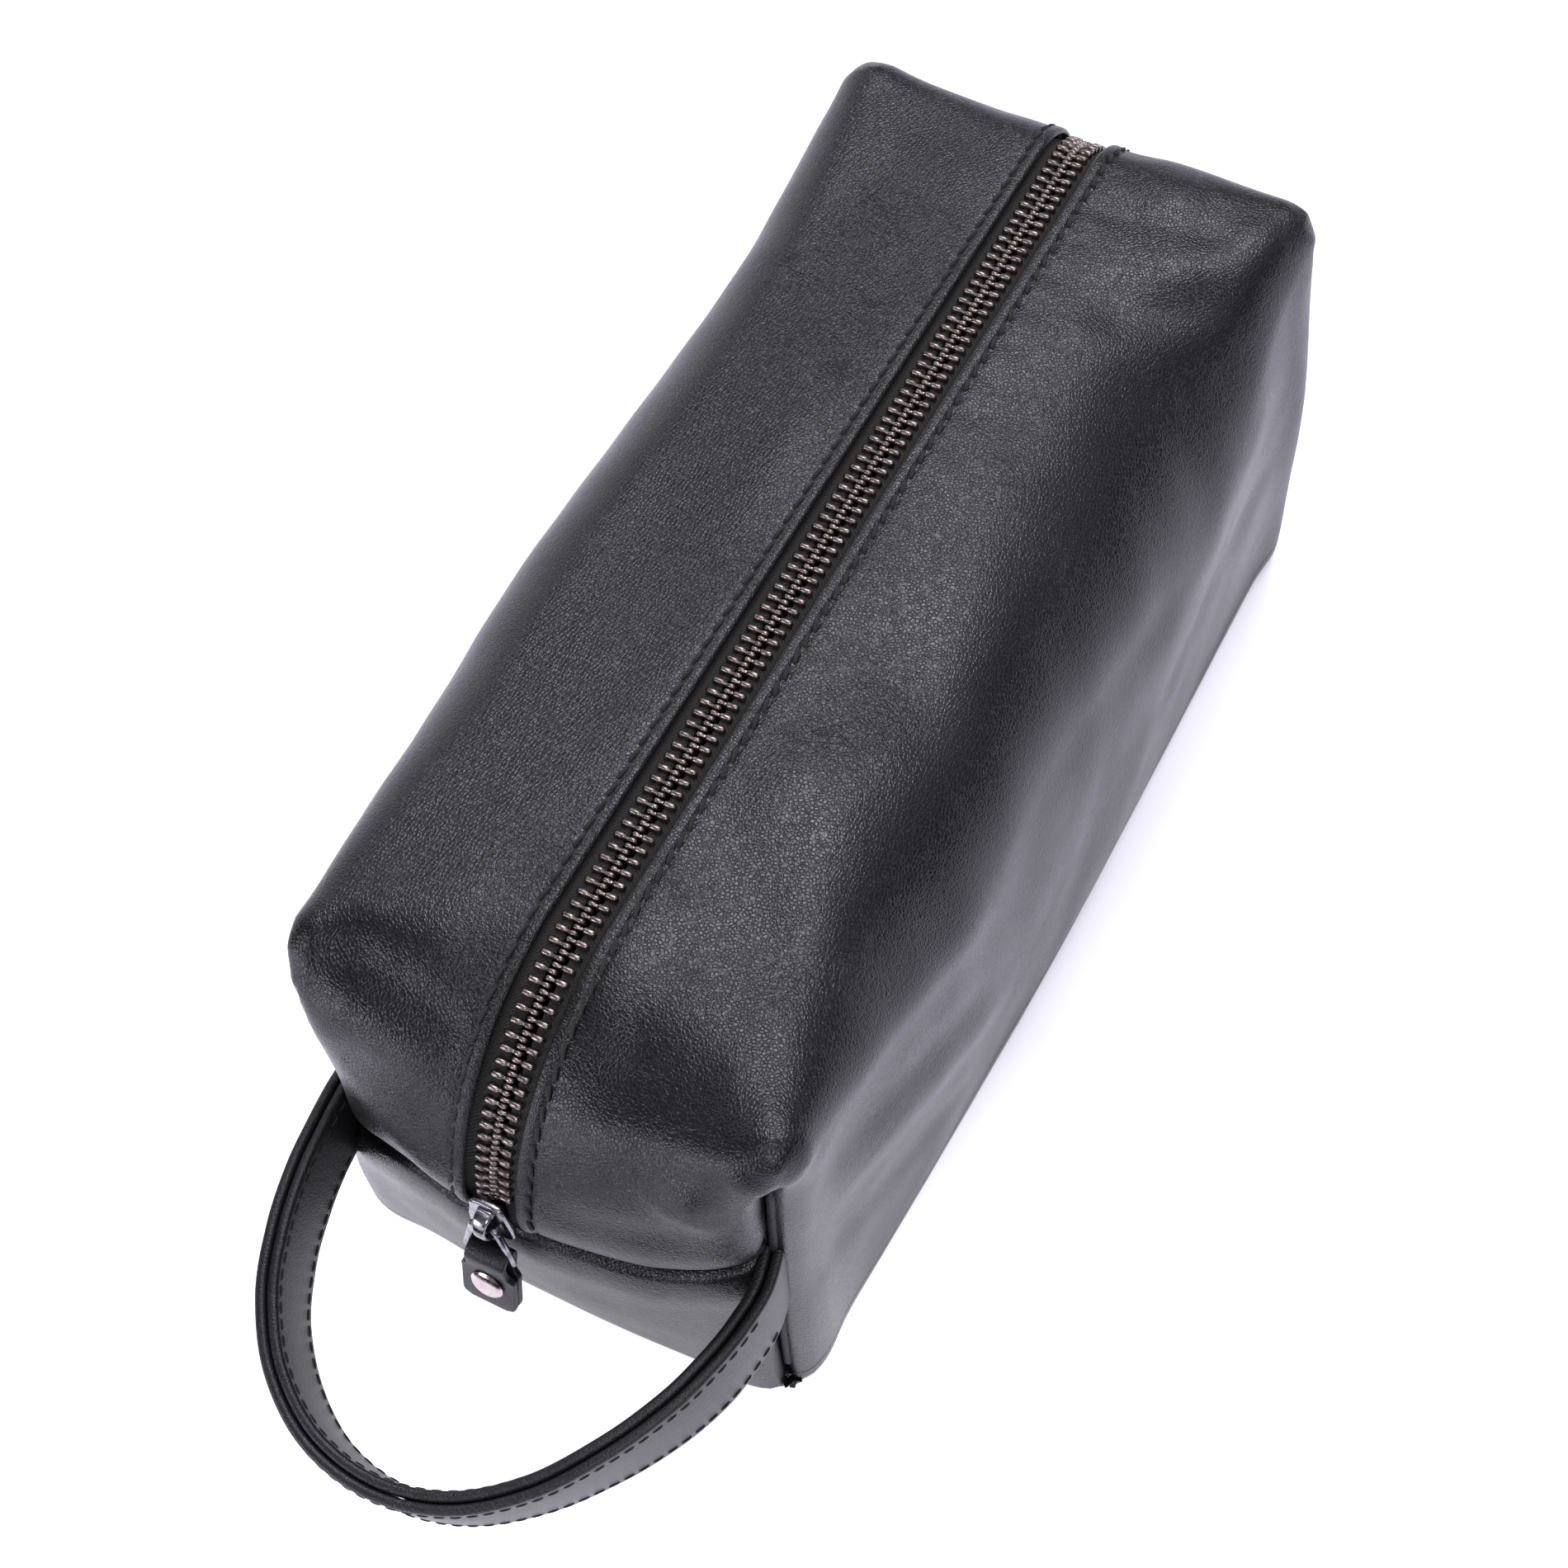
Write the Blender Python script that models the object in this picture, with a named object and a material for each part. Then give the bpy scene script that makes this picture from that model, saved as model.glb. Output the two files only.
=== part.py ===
"""Shaving kit bag: a box-cornered leather bag with a metal zip over its top and ends and a side carry strap.

Frame: origin at the centre of the underside, +X towards the end with the strap, +Z up.
Lengths are in millimetres and become metres when a mesh is made.
"""
import math

import bpy
import bmesh
from mathutils import Vector

MM = 0.001

# ---- the bag's outer form ----
HALF_LENGTH = 115.0       # at the four corner seams
HALF_WIDTH = 49.0
HEIGHT = 102.0
CROWN = 2.0               # extra height of the top along its centre line
EDGE_RADIUS = 8.0         # of the box edges, out at the corners
FOOT_RADIUS = 4.0         # of the edges round the underside
NEAR_BULGE = 13.0         # how far the strap end swells out at its centre
NEAR_RADIUS = 40.0        # the arc that the zip follows down the strap end
FAR_BULGE = 2.5
FAR_RADIUS = 16.0
SIDE_BULGE = 3.0
STRETCH_FROM = 50.0       # the swelling of the strap end is spread from here on
ARC_CENTRE = (HALF_LENGTH + NEAR_BULGE - NEAR_RADIUS, HEIGHT + CROWN - NEAR_RADIUS)

# ---- seams ----
SEAM_Z = 57.0             # the level seam across each end
SEAM_GAP = 0.5
FOLD_Z = 6.0              # where a side wall leaves the underside, and the mouth's hinge line
FOLD_GAP = 0.4
HINGE_Y = HALF_WIDTH + 0.5
CORNER_SLIT = 0.8

# ---- layers, measured inwards from the outer surface ----
LEATHER = (0.0, 1.4)
TAPE = (1.7, 2.2)
BINDING = (1.7, 2.2)
LINING = (3.4, 4.0)
BOTTOM_LINING = (2.6, 3.2)

# ---- how far each layer reaches ----
CORNER_BINDING_HALF = 41.0             # half the width between the corner bindings
END_BINDING_FOOT = 48.0
CORNER_SLIT_TOP = 94.0                 # above this the side wall is sewn to the end
BOTTOM_LINING_HALF = 42.0
BOTTOM_LINING_TOP = 54.0
LINING_FOOT = 9.0
LINING_END_FOOT = 60.0
LINING_SLOT_HALF = 9.0
LINING_HALF_LENGTH = 110.0

# ---- zip ----
SLOT_HALF = 5.0           # half the width of the opening in the leather
TAPE_INNER = 3.25
TAPE_OUTER = 12.0
TOOTH_PITCH = 2.5
TOOTH_LENGTH = 0.9        # along the zip
TOOTH_TIP = -0.9          # how far a tooth reaches past the centre line
BEAD_INNER = 1.4
BEAD_OUTER = 2.95
CHAIN_DEPTH = (0.3, 2.9)
CHAIN_START = 1.0         # the first teeth lie this far past the slider's middle

# ---- slider, link and tab ----
SLIDER_ANGLE = math.radians(0.0)      # its place on the arc, up from the level
PLATE_TOP = (0.2, 1.7)
PLATE_BOTTOM = (-4.9, -3.6)
CROWN_FOOT = 2.0
BAR_HEIGHT = 3.0          # the link's pivot bar above the chain's surface
LINK_LENGTH = 10.5
LINK_SECTION = 0.6        # half the thickness of the link's bars
LINK_HALF_WIDTHS = (2.7, 5.5)          # at the pivot bar and at the bar that holds the tab
LINK_TILT = math.radians(4.0)
TAB_TILT = math.radians(7.0)
TAB_LENGTH = 13.5
TAB_HALF_WIDTH = 5.4
TAB_NECK = 4.0            # half its width where it folds round the bar
TAB_THICKNESS = 1.3
TAB_BEND = 1.9            # radius of its fold, to the middle of the leather
TAB_APART = 0.9           # half the distance between its two layers
TAB_CORNER = 1.0
RIVET_AT = 7.3
RIVET_SEGMENTS = 16
RIVET_HOLE = 1.3
RIVET_SHANK = 0.95
RIVET_STAND_OFF = 0.3
CAP_PROFILE = ((0.9, 1.5), (1.9, 1.2), (2.6, 0.6), (2.75, 0.0))        # radius, height over the leather
BACK_PROFILE = ((2.4, 0.3), (2.6, 0.6), (2.2, 1.0))

# ---- strap ----
STRAP_HALF_WIDTH = 10.0
STRAP_LAYER = 2.0
STRAP_SLIT = 0.3
PIVOT_X = 133.0           # the line that the strap swings about
PIVOT_Z = 48.5
PIVOT_Y = 43.5            # where the strap meets it
END_START_ANGLE = math.radians(8.0)    # the small flat at the tip of each round strap end
TAIL_START = 117.9
TAIL_CLEARANCE = 0.5
TAIL_HALF_WIDTH = 8.5     # kept below the level seam, so that the mouth clears it as it opens
TAIL_TIP_ANGLE = math.radians(126.0)
STRAP_ROUTE = (           # x, y, z and outward lean along the middle of the strap, left to right
    (133.0, -43.5, 48.5, 0.0), (143.0, -41.0, 47.6, 0.05), (153.5, -36.5, 45.5, 0.12),
    (162.0, -28.0, 43.4, 0.20), (167.3, -16.5, 41.8, 0.24), (169.0, -4.0, 41.2, 0.25),
    (166.5, 9.0, 41.8, 0.24), (160.0, 21.5, 43.6, 0.20), (151.0, 32.0, 46.2, 0.12),
    (142.0, 39.5, 48.0, 0.05), (133.0, 43.5, 48.5, 0.0),
)

X_LINES = (-HALF_LENGTH, CORNER_SLIT - HALF_LENGTH, -107.0, -90.0, -60.0, -30.0, 0.0, 30.0, 50.0, 62.0, 74.0,
           86.0, 98.0, 107.0, HALF_LENGTH - CORNER_SLIT, HALF_LENGTH)
Y_HALF_LINES = (TAPE_INNER, SLOT_HALF, TAPE_OUTER, 26.0, CORNER_BINDING_HALF, HALF_WIDTH)
Z_LINES = (0.0, FOOT_RADIUS, FOLD_Z, FOLD_Z + FOLD_GAP, 20.0, 36.0, END_BINDING_FOOT, SEAM_Z, SEAM_Z + SEAM_GAP,
           66.0, 75.0, 84.0, CORNER_SLIT_TOP, HEIGHT)
LINING_X_LINES = (-HALF_LENGTH, -LINING_HALF_LENGTH, -100.0, -50.0, 0.0, 48.0, 74.0, 98.0, LINING_HALF_LENGTH,
                  HALF_LENGTH)
LINING_Y_HALF_LINES = (LINING_SLOT_HALF, 26.0, BOTTOM_LINING_HALF, HALF_WIDTH)
LINING_Z_LINES = (0.0, FOOT_RADIUS, LINING_FOOT, 30.0, BOTTOM_LINING_TOP, LINING_END_FOOT, 80.0, 94.0, HEIGHT)

COLOURS = {
    "black_leather": ((0.018, 0.017, 0.020), 0.38, 0.0),
    "strap_leather": ((0.016, 0.015, 0.018), 0.45, 0.0),
    "lining_cloth": ((0.045, 0.043, 0.048), 0.85, 0.0),
    "zip_tape": ((0.020, 0.016, 0.015), 0.90, 0.0),
    "zip_metal": ((0.22, 0.17, 0.15), 0.35, 1.0),
    "slider_metal": ((0.30, 0.29, 0.31), 0.22, 1.0),
    "rivet_metal": ((0.75, 0.70, 0.70), 0.20, 1.0),
}


# ---------------------------------------------------------------- the form of the bag

def round_corner(a, b, a_edge, b_edge, radius):
    """Bend the square corner at (a_edge, b_edge) onto a quarter circle."""
    da = a - (a_edge - radius)
    db = b - (b_edge - radius)
    if da <= 0.0 or db <= 0.0:
        return a, b
    reach = max(da, db) / math.hypot(da, db)
    return a_edge - radius + da * reach, b_edge - radius + db * reach


def bag_point(x, y, z):
    """Take a point of the plain box to its place on the soft bag."""
    x_sign = 1.0 if x >= 0.0 else -1.0
    y_sign = 1.0 if y >= 0.0 else -1.0
    x, y = abs(x), abs(y)
    x, y = round_corner(x, y, HALF_LENGTH, HALF_WIDTH, EDGE_RADIUS)
    y, z = round_corner(y, z, HALF_WIDTH, HEIGHT, EDGE_RADIUS)
    y, drop = round_corner(y, -z, HALF_WIDTH, 0.0, FOOT_RADIUS)
    z = -drop
    across = y / HALF_WIDTH
    middle = 1.0 - across ** 2.2
    low = max(0.0, 1.0 - z / ARC_CENTRE[1])
    if x_sign > 0.0:
        swell = NEAR_BULGE * middle * (1.0 - 0.85 * low ** 2)
        radius = EDGE_RADIUS + (NEAR_RADIUS - EDGE_RADIUS) * (1.0 - across ** 1.8)
    else:
        swell = FAR_BULGE * middle
        radius = EDGE_RADIUS + (FAR_RADIUS - EDGE_RADIUS) * (1.0 - across ** 1.8)
    if x > STRETCH_FROM:
        x += swell * (x - STRETCH_FROM) / (HALF_LENGTH - STRETCH_FROM)
    top = HEIGHT + CROWN * (1.0 - across ** 2)
    z *= top / HEIGHT
    end = HALF_LENGTH + swell
    x, z = round_corner(x, z, end, top, radius)
    x, drop = round_corner(x, -z, end, 0.0, FOOT_RADIUS)
    z = -drop
    along = min(1.0, x / HALF_LENGTH)
    swell = (1.0 - along ** 2) * math.sin(math.pi * min(1.0, z / HEIGHT))
    y *= 1.0 + SIDE_BULGE / HALF_WIDTH * swell * across ** 2
    return Vector((x * x_sign, y * y_sign, z))


def mirrored(half_lines):
    return tuple(-y for y in reversed(half_lines)) + tuple(half_lines)


class Lattice:
    """The whole outer surface as the six faces of a box of grid lines."""

    FACES = {(0, False): "far", (0, True): "near", (1, False): "left", (1, True): "right",
             (2, False): "bottom", (2, True): "top"}

    def __init__(self, x_lines, y_lines, z_lines):
        lines = (x_lines, y_lines, z_lines)
        self.cells = []
        self.points = {}
        for axis in range(3):
            u_axis, v_axis = (axis + 1) % 3, (axis + 2) % 3
            for high in (False, True):
                layer = len(lines[axis]) - 1 if high else 0
                for u in range(len(lines[u_axis]) - 1):
                    for v in range(len(lines[v_axis]) - 1):
                        corners = []
                        for du, dv in ((0, 0), (1, 0), (1, 1), (0, 1)):
                            key = [layer, layer, layer]
                            key[u_axis] = u + du
                            key[v_axis] = v + dv
                            corners.append(tuple(key))
                        centre = [sum(lines[k][c[k]] for c in corners) / 4.0 for k in range(3)]
                        if not high:
                            corners.reverse()
                        self.cells.append((self.FACES[axis, high], centre, corners))
        box = {key: Vector(lines[k][key[k]] for k in range(3)) for _, _, c in self.cells for key in c}
        self.points = {key: bag_point(*place) for key, place in box.items()}
        self.normals = {key: Vector() for key in box}
        for _, _, corners in self.cells:
            for n, key in enumerate(corners):
                ahead = bag_point(*box[key].lerp(box[corners[(n + 1) % 4]], 0.01)) - self.points[key]
                behind = bag_point(*box[key].lerp(box[corners[n - 1]], 0.01)) - self.points[key]
                self.normals[key] += ahead.cross(behind).normalized()
        for normal in self.normals.values():
            normal.normalize()

    def shell(self, wanted, depths):
        """A closed sheet between two depths under the wanted cells."""
        quads = [corners for face, centre, corners in self.cells if wanted(face, *centre)]
        keys = sorted({key for corners in quads for key in corners})
        index = {key: n for n, key in enumerate(keys)}
        under = len(keys)
        verts = [self.points[key] - self.normals[key] * depth for depth in depths for key in keys]
        edges = {(a, b) for q in quads for a, b in zip(q, q[1:] + q[:1])}
        faces = [[index[key] for key in half] for q in quads for half in (q[:3], [q[0], q[2], q[3]])]
        faces += [[under + n for n in reversed(face)] for face in faces]
        for a, b in sorted(edges):
            if (b, a) not in edges:
                faces.append([index[b], index[a], under + index[a], under + index[b]])
        return verts, faces


# ---------------------------------------------------------------- general shapes

def loft(rings, closed=False):
    """Join rings of equal length with quads, and cap the ends or close the loop."""
    count = len(rings[0])
    verts = [Vector(point) for ring in rings for point in ring]
    faces = []
    pairs = list(zip(range(len(rings) - 1), range(1, len(rings))))
    if closed:
        pairs.append((len(rings) - 1, 0))
    for a, b in pairs:
        for k in range(count):
            m = (k + 1) % count
            faces.append([a * count + k, a * count + m, b * count + m, b * count + k])
    if not closed:
        faces.append(list(reversed(range(count))))
        faces.append(list(range(len(verts) - count, len(verts))))
    return verts, faces


def outward(verts, faces):
    """Turn the faces of a closed mesh to point out."""
    mesh = bmesh.new()
    made = [mesh.verts.new(v) for v in verts]
    for face in faces:
        mesh.faces.new([made[n] for n in face])
    bmesh.ops.recalc_face_normals(mesh, faces=mesh.faces)
    if mesh.calc_volume(signed=True) < 0.0:
        bmesh.ops.reverse_faces(mesh, faces=mesh.faces)
    return mesh


def add(name, shape, material, origin=(0.0, 0.0, 0.0), smooth=False):
    """Make a named object from points in millimetres, with its origin where it turns."""
    verts, faces = shape
    origin = Vector(origin)
    mesh = outward([(Vector(v) - origin) * MM for v in verts], faces)
    data = bpy.data.meshes.new(name)
    mesh.to_mesh(data)
    mesh.free()
    data.materials.append(material_for(name, material))
    if smooth:
        data.shade_smooth()
        data.set_sharp_from_angle(angle=math.radians(40.0))
    obj = bpy.data.objects.new(name, data)
    obj.location = origin * MM
    bpy.context.scene.collection.objects.link(obj)
    return obj


def material_for(name, kind):
    colour, roughness, metallic = COLOURS[kind]
    material = bpy.data.materials.new(name + "_" + kind)
    material.use_nodes = True
    shader = material.node_tree.nodes["Principled BSDF"]
    shader.inputs["Base Color"].default_value = (*colour, 1.0)
    shader.inputs["Roughness"].default_value = roughness
    shader.inputs["Metallic"].default_value = metallic
    return material


def bar(route, half_width, half_thickness):
    """Carry a rectangle along a route of (point, across, up) frames."""
    rings = []
    for point, across, up in route:
        wide, thick = across * half_width, up * half_thickness
        rings.append([point - wide - thick, point + wide - thick, point + wide + thick, point - wide + thick])
    return loft(rings)


def turned(profile, place):
    """Turn (radius, height) points about an axis; place puts (u, v, height) in the bag's frame."""
    rings = []
    for radius, height in profile:
        ring = []
        for k in range(RIVET_SEGMENTS):
            angle = 2.0 * math.pi * k / RIVET_SEGMENTS
            ring.append(place(radius * math.cos(angle), radius * math.sin(angle), height))
        rings.append(ring)
    return loft(rings)


# ---------------------------------------------------------------- leather, lining and bindings

def make_body(lattice, lining_lattice):
    def bottom(face, x, y, z):
        if face == "bottom":
            return True
        return z < (SEAM_Z if face in ("near", "far") else FOLD_Z) and face != "top"

    def bottom_lining(face, x, y, z):
        return face == "bottom" and abs(x) < LINING_HALF_LENGTH and abs(y) < BOTTOM_LINING_HALF

    add("bottom_panel", lattice.shell(bottom, LEATHER), "black_leather")
    add("bottom_lining", lining_lattice.shell(bottom_lining, BOTTOM_LINING), "lining_cloth")
    for end in ("near", "far"):
        def end_lining(face, x, y, z):
            return face == end and LINING_FOOT < z < BOTTOM_LINING_TOP and abs(y) < BOTTOM_LINING_HALF

        def seam_binding(face, x, y, z):
            return face == end and END_BINDING_FOOT < z < SEAM_Z and abs(y) < CORNER_BINDING_HALF

        add(end + "_end_lining", lining_lattice.shell(end_lining, BOTTOM_LINING), "lining_cloth")
        add(end + "_seam_binding", lattice.shell(seam_binding, BINDING), "lining_cloth")
        for side, sign in (("left", -1.0), ("right", 1.0)):
            def corner_binding(face, x, y, z):
                return face == end and FOLD_Z < z < SEAM_Z and y * sign > CORNER_BINDING_HALF

            add("corner_binding_" + end + "_" + side, lattice.shell(corner_binding, BINDING), "lining_cloth")


def make_mouth(lattice, lining_lattice):
    for side, sign in (("left", -1.0), ("right", 1.0)):
        hinge = (0.0, sign * HINGE_Y, FOLD_Z)

        def panel(face, x, y, z):
            if face == side:
                slit = abs(x) > HALF_LENGTH - CORNER_SLIT and z < CORNER_SLIT_TOP
                return z > FOLD_Z + FOLD_GAP and not slit
            if face in ("near", "far"):
                return z > SEAM_Z + SEAM_GAP and y * sign > SLOT_HALF
            return face == "top" and y * sign > SLOT_HALF

        def lining(face, x, y, z):
            if face == side:
                return z > LINING_FOOT and abs(x) < LINING_HALF_LENGTH
            if face in ("near", "far"):
                return z > LINING_END_FOOT and y * sign > LINING_SLOT_HALF
            return face == "top" and y * sign > LINING_SLOT_HALF

        def tape(face, x, y, z):
            if not TAPE_INNER < y * sign < TAPE_OUTER:
                return False
            return face == "top" or (face in ("near", "far") and z > SEAM_Z + SEAM_GAP)

        add(side + "_panel", lattice.shell(panel, LEATHER), "black_leather", hinge)
        add(side + "_lining", lining_lattice.shell(lining, LINING), "lining_cloth", hinge)
        add("zip_tape_" + side, lattice.shell(tape, TAPE), "zip_tape", hinge)


# ---------------------------------------------------------------- zip teeth

def zip_line():
    """Points along the middle of the zip, from the slider over the top to the far seam."""
    box_points = []
    steps = 60
    low = SEAM_Z + SEAM_GAP
    for k in range(steps):
        box_points.append((HALF_LENGTH, low + (HEIGHT - low) * k / steps))
    for k in range(4 * steps):
        box_points.append((HALF_LENGTH - 2.0 * HALF_LENGTH * k / (4 * steps), HEIGHT))
    for k in range(steps + 1):
        box_points.append((-HALF_LENGTH, HEIGHT - (HEIGHT - low) * k / steps))
    line = [bag_point(x, 0.0, z) for x, z in box_points]
    clear = SLIDER_ANGLE + CHAIN_START / NEAR_RADIUS
    return [p for p in line if p.x < 0.0 or math.atan2(p.z - ARC_CENTRE[1], p.x - ARC_CENTRE[0]) > clear]


def walk(line, distances):
    """Points and outward directions at the given distances along a line."""
    found = []
    reached = 0.0
    k = 0
    for distance in distances:
        while k < len(line) - 2 and reached + (line[k + 1] - line[k]).length < distance:
            reached += (line[k + 1] - line[k]).length
            k += 1
        step = line[k + 1] - line[k]
        point = line[k] + step * ((distance - reached) / step.length)
        forward = step.normalized()
        found.append((point, Vector((0.0, 1.0, 0.0)).cross(forward)))
    return found


def make_teeth(line):
    length = sum((b - a).length for a, b in zip(line, line[1:]))
    count = int((length - TOOTH_PITCH) / TOOTH_PITCH)
    for side, sign, shift in (("left", -1.0, 0.0), ("right", 1.0, 0.5)):
        marks = []
        for n in range(count):
            start = (n + shift) * TOOTH_PITCH
            marks += [start, start + TOOTH_LENGTH]
        marks.append((count + shift) * TOOTH_PITCH)
        frames = walk(line, marks)
        verts = []
        faces = []
        for point, up in frames:
            for y in (BEAD_OUTER, BEAD_INNER, TOOTH_TIP):
                for depth in CHAIN_DEPTH:
                    verts.append(point + Vector((0.0, sign * y, 0.0)) - up * depth)
        for n in range(len(frames) - 1):
            a, b = 6 * n, 6 * (n + 1)
            faces += [[a, b, b + 2, a + 2], [a + 1, a + 3, b + 3, b + 1], [a, a + 1, b + 1, b]]
            if n % 2 == 0:
                faces += [[a + 2, b + 2, b + 4, a + 4], [a + 3, a + 5, b + 5, b + 3],
                          [a + 4, b + 4, b + 5, a + 5], [a + 2, a + 4, a + 5, a + 3],
                          [b + 2, b + 3, b + 5, b + 4]]
            else:
                faces.append([a + 2, b + 2, b + 3, a + 3])
        last = 6 * (len(frames) - 1)
        faces += [[0, 2, 3, 1], [last, last + 1, last + 3, last + 2]]
        used = sorted({n for face in faces for n in face})
        renumber = {n: k for k, n in enumerate(used)}
        shape = ([verts[n] for n in used], [[renumber[n] for n in face] for face in faces])
        add("zip_teeth_" + side, shape, "zip_metal", (0.0, sign * HINGE_Y, FOLD_Z))


# ---------------------------------------------------------------- slider, link, tab and rivet

OUT = Vector((math.cos(SLIDER_ANGLE), 0.0, math.sin(SLIDER_ANGLE)))
UP_ZIP = Vector((-math.sin(SLIDER_ANGLE), 0.0, math.cos(SLIDER_ANGLE)))
ACROSS = Vector((0.0, 1.0, 0.0))
SLIDER_CENTRE = Vector((ARC_CENTRE[0], 0.0, ARC_CENTRE[1])) + OUT * NEAR_RADIUS
LINK_PIVOT = SLIDER_CENTRE + OUT * BAR_HEIGHT


def turned_down(tilt):
    """Directions along and off a flat piece that hangs from the slider, tilted away from the bag."""
    down = -UP_ZIP * math.cos(tilt) + OUT * math.sin(tilt)
    off = OUT * math.cos(tilt) + UP_ZIP * math.sin(tilt)
    return down, off


LINK_DOWN, LINK_OFF = turned_down(LINK_TILT)
TAB_DOWN, TAB_OFF = turned_down(LINK_TILT + TAB_TILT)
TAB_PIVOT = LINK_PIVOT + LINK_DOWN * LINK_LENGTH


def make_slider():
    half = ((6.0, 2.6), (5.4, 3.5), (1.5, 3.9), (-1.5, 4.6), (-4.2, 4.6), (-5.6, 3.6), (-6.0, 2.0))
    plate = list(half) + [(t, -y) for t, y in reversed(half)]
    post = [(max(-4.6, min(-0.4, t * 0.42 - 2.4)), y * 0.30) for t, y in plate]

    def ring(outline, height, shrink=1.0):
        return [SLIDER_CENTRE + UP_ZIP * t * shrink + ACROSS * y * shrink + OUT * height for t, y in outline]

    rings = [ring(plate, PLATE_TOP[1], 0.88), ring(plate, PLATE_TOP[1] - 0.5), ring(plate, PLATE_TOP[0]),
             ring(post, PLATE_TOP[0]), ring(post, PLATE_BOTTOM[1]), ring(plate, PLATE_BOTTOM[1]),
             ring(plate, PLATE_BOTTOM[0] + 0.4), ring(plate, PLATE_BOTTOM[0], 0.88)]
    travel_axis = (ARC_CENTRE[0], 0.0, ARC_CENTRE[1])
    add("slider_body", loft(rings), "slider_metal", travel_axis)

    outer_half, height, steps = 3.3, 2.7, 8
    route = []
    for k in range(steps + 1):
        angle = math.pi * k / steps
        t, r = outer_half * math.cos(angle), CROWN_FOOT + height * math.sin(angle) ** 0.7
        point = SLIDER_CENTRE + UP_ZIP * t + OUT * r
        lean = Vector((math.cos(angle) / outer_half, math.sin(angle) / height))
        lean.normalize()
        route.append((point, ACROSS, UP_ZIP * lean.x + OUT * lean.y))
    add("slider_crown", bar(route, 1.3, 0.45), "slider_metal", travel_axis, smooth=True)


def make_link():
    s = LINK_SECTION
    top, foot = LINK_HALF_WIDTHS
    outline = ((-top, 0.0), (top, 0.0), (foot, LINK_LENGTH), (-foot, LINK_LENGTH))
    rings = []
    for y, down in outline:
        inward = Vector((-1.0 if y > 0.0 else 1.0, 1.0 if down == 0.0 else -1.0))
        corner = []
        for a, b in ((-1, -1), (1, -1), (1, 1), (-1, 1)):
            point = LINK_PIVOT + ACROSS * (y + inward.x * s * a) + LINK_DOWN * (down + inward.y * s * a)
            corner.append(point + LINK_OFF * s * b)
        rings.append(corner)
    add("pull_link", loft(rings, closed=True), "slider_metal", LINK_PIVOT)


def make_tab():
    half = TAB_THICKNESS / 2.0
    straight = ((TAB_LENGTH, TAB_HALF_WIDTH - TAB_CORNER),
                (TAB_LENGTH - 0.4 * TAB_CORNER, TAB_HALF_WIDTH - 0.3 * TAB_CORNER),
                (TAB_LENGTH - 1.4 * TAB_CORNER, TAB_HALF_WIDTH),
                (TAB_BEND + 1.7, TAB_HALF_WIDTH), (TAB_BEND + 0.7, TAB_NECK))
    path = [(down, TAB_APART, 0.0, width) for down, width in straight]
    steps = 8
    for k in range(steps + 1):
        angle = math.pi * k / steps
        path.append((-TAB_BEND * math.sin(angle), TAB_BEND * math.cos(angle), angle, TAB_NECK))
    path += [(down, -TAB_APART, math.pi, width) for down, width in reversed(straight)]
    rings = []
    for down, off, angle, width in path:
        point = TAB_PIVOT + TAB_DOWN * down + TAB_OFF * off
        thick = (TAB_OFF * math.cos(angle) - TAB_DOWN * math.sin(angle)) * half
        rings.append([point - ACROSS * width - thick, point + ACROSS * width - thick,
                      point + ACROSS * width + thick, point - ACROSS * width + thick])
    tab = add("pull_tab", loft(rings), "strap_leather", TAB_PIVOT, smooth=True)

    centre = TAB_PIVOT + TAB_DOWN * RIVET_AT

    def place(u, v, height):
        return centre + ACROSS * u + TAB_DOWN * v + TAB_OFF * height

    cutter = add("rivet_hole_cutter", turned(((RIVET_HOLE, 4.0), (RIVET_HOLE, -4.0)), place), "rivet_metal",
                 TAB_PIVOT)
    cutter.hide_render = True
    cutter.display_type = "WIRE"
    hole = tab.modifiers.new("rivet_hole", "BOOLEAN")
    hole.operation = "DIFFERENCE"
    hole.solver = "EXACT"
    hole.object = cutter

    face = TAB_APART + half + RIVET_STAND_OFF
    cap = [(radius, face + rise) for radius, rise in CAP_PROFILE] + [(RIVET_SHANK, face), (RIVET_SHANK, -face)]
    add("rivet_cap", turned(cap, place), "rivet_metal", TAB_PIVOT, smooth=True)
    back = [(radius, -face - rise) for radius, rise in BACK_PROFILE]
    add("rivet_back", turned(back, place), "rivet_metal", TAB_PIVOT, smooth=True)


# ---------------------------------------------------------------- strap

def spline(points, steps):
    """A smooth curve through points of any number of values (Catmull-Rom)."""
    ends = [tuple(2 * a - b for a, b in zip(points[0], points[1])),
            tuple(2 * a - b for a, b in zip(points[-1], points[-2]))]
    knots = [ends[0], *points, ends[1]]
    curve = []
    for p0, p1, p2, p3 in zip(knots, knots[1:], knots[2:], knots[3:]):
        for k in range(steps):
            t = k / steps
            curve.append(tuple(
                0.5 * (2 * b + (c - a) * t + (2 * a - 5 * b + 4 * c - d) * t * t
                       + (3 * b - a - 3 * c + d) * t ** 3)
                for a, b, c, d in zip(p0, p1, p2, p3)))
    curve.append(points[-1])
    return curve


def strap_frames():
    curve = spline(STRAP_ROUTE, 3)
    frames = []
    for k, (x, y, z, lean) in enumerate(curve):
        before, after = curve[max(k - 1, 0)], curve[min(k + 1, len(curve) - 1)]
        along = Vector((after[0] - before[0], after[1] - before[1], 0.0)).normalized()
        outside = along.cross(Vector((0.0, 0.0, 1.0)))
        up = (Vector((0.0, 0.0, 1.0)) - outside * lean).normalized()
        frames.append((Vector((x, y, z)), (outside + Vector((0.0, 0.0, lean))).normalized(), up))
    return frames


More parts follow.
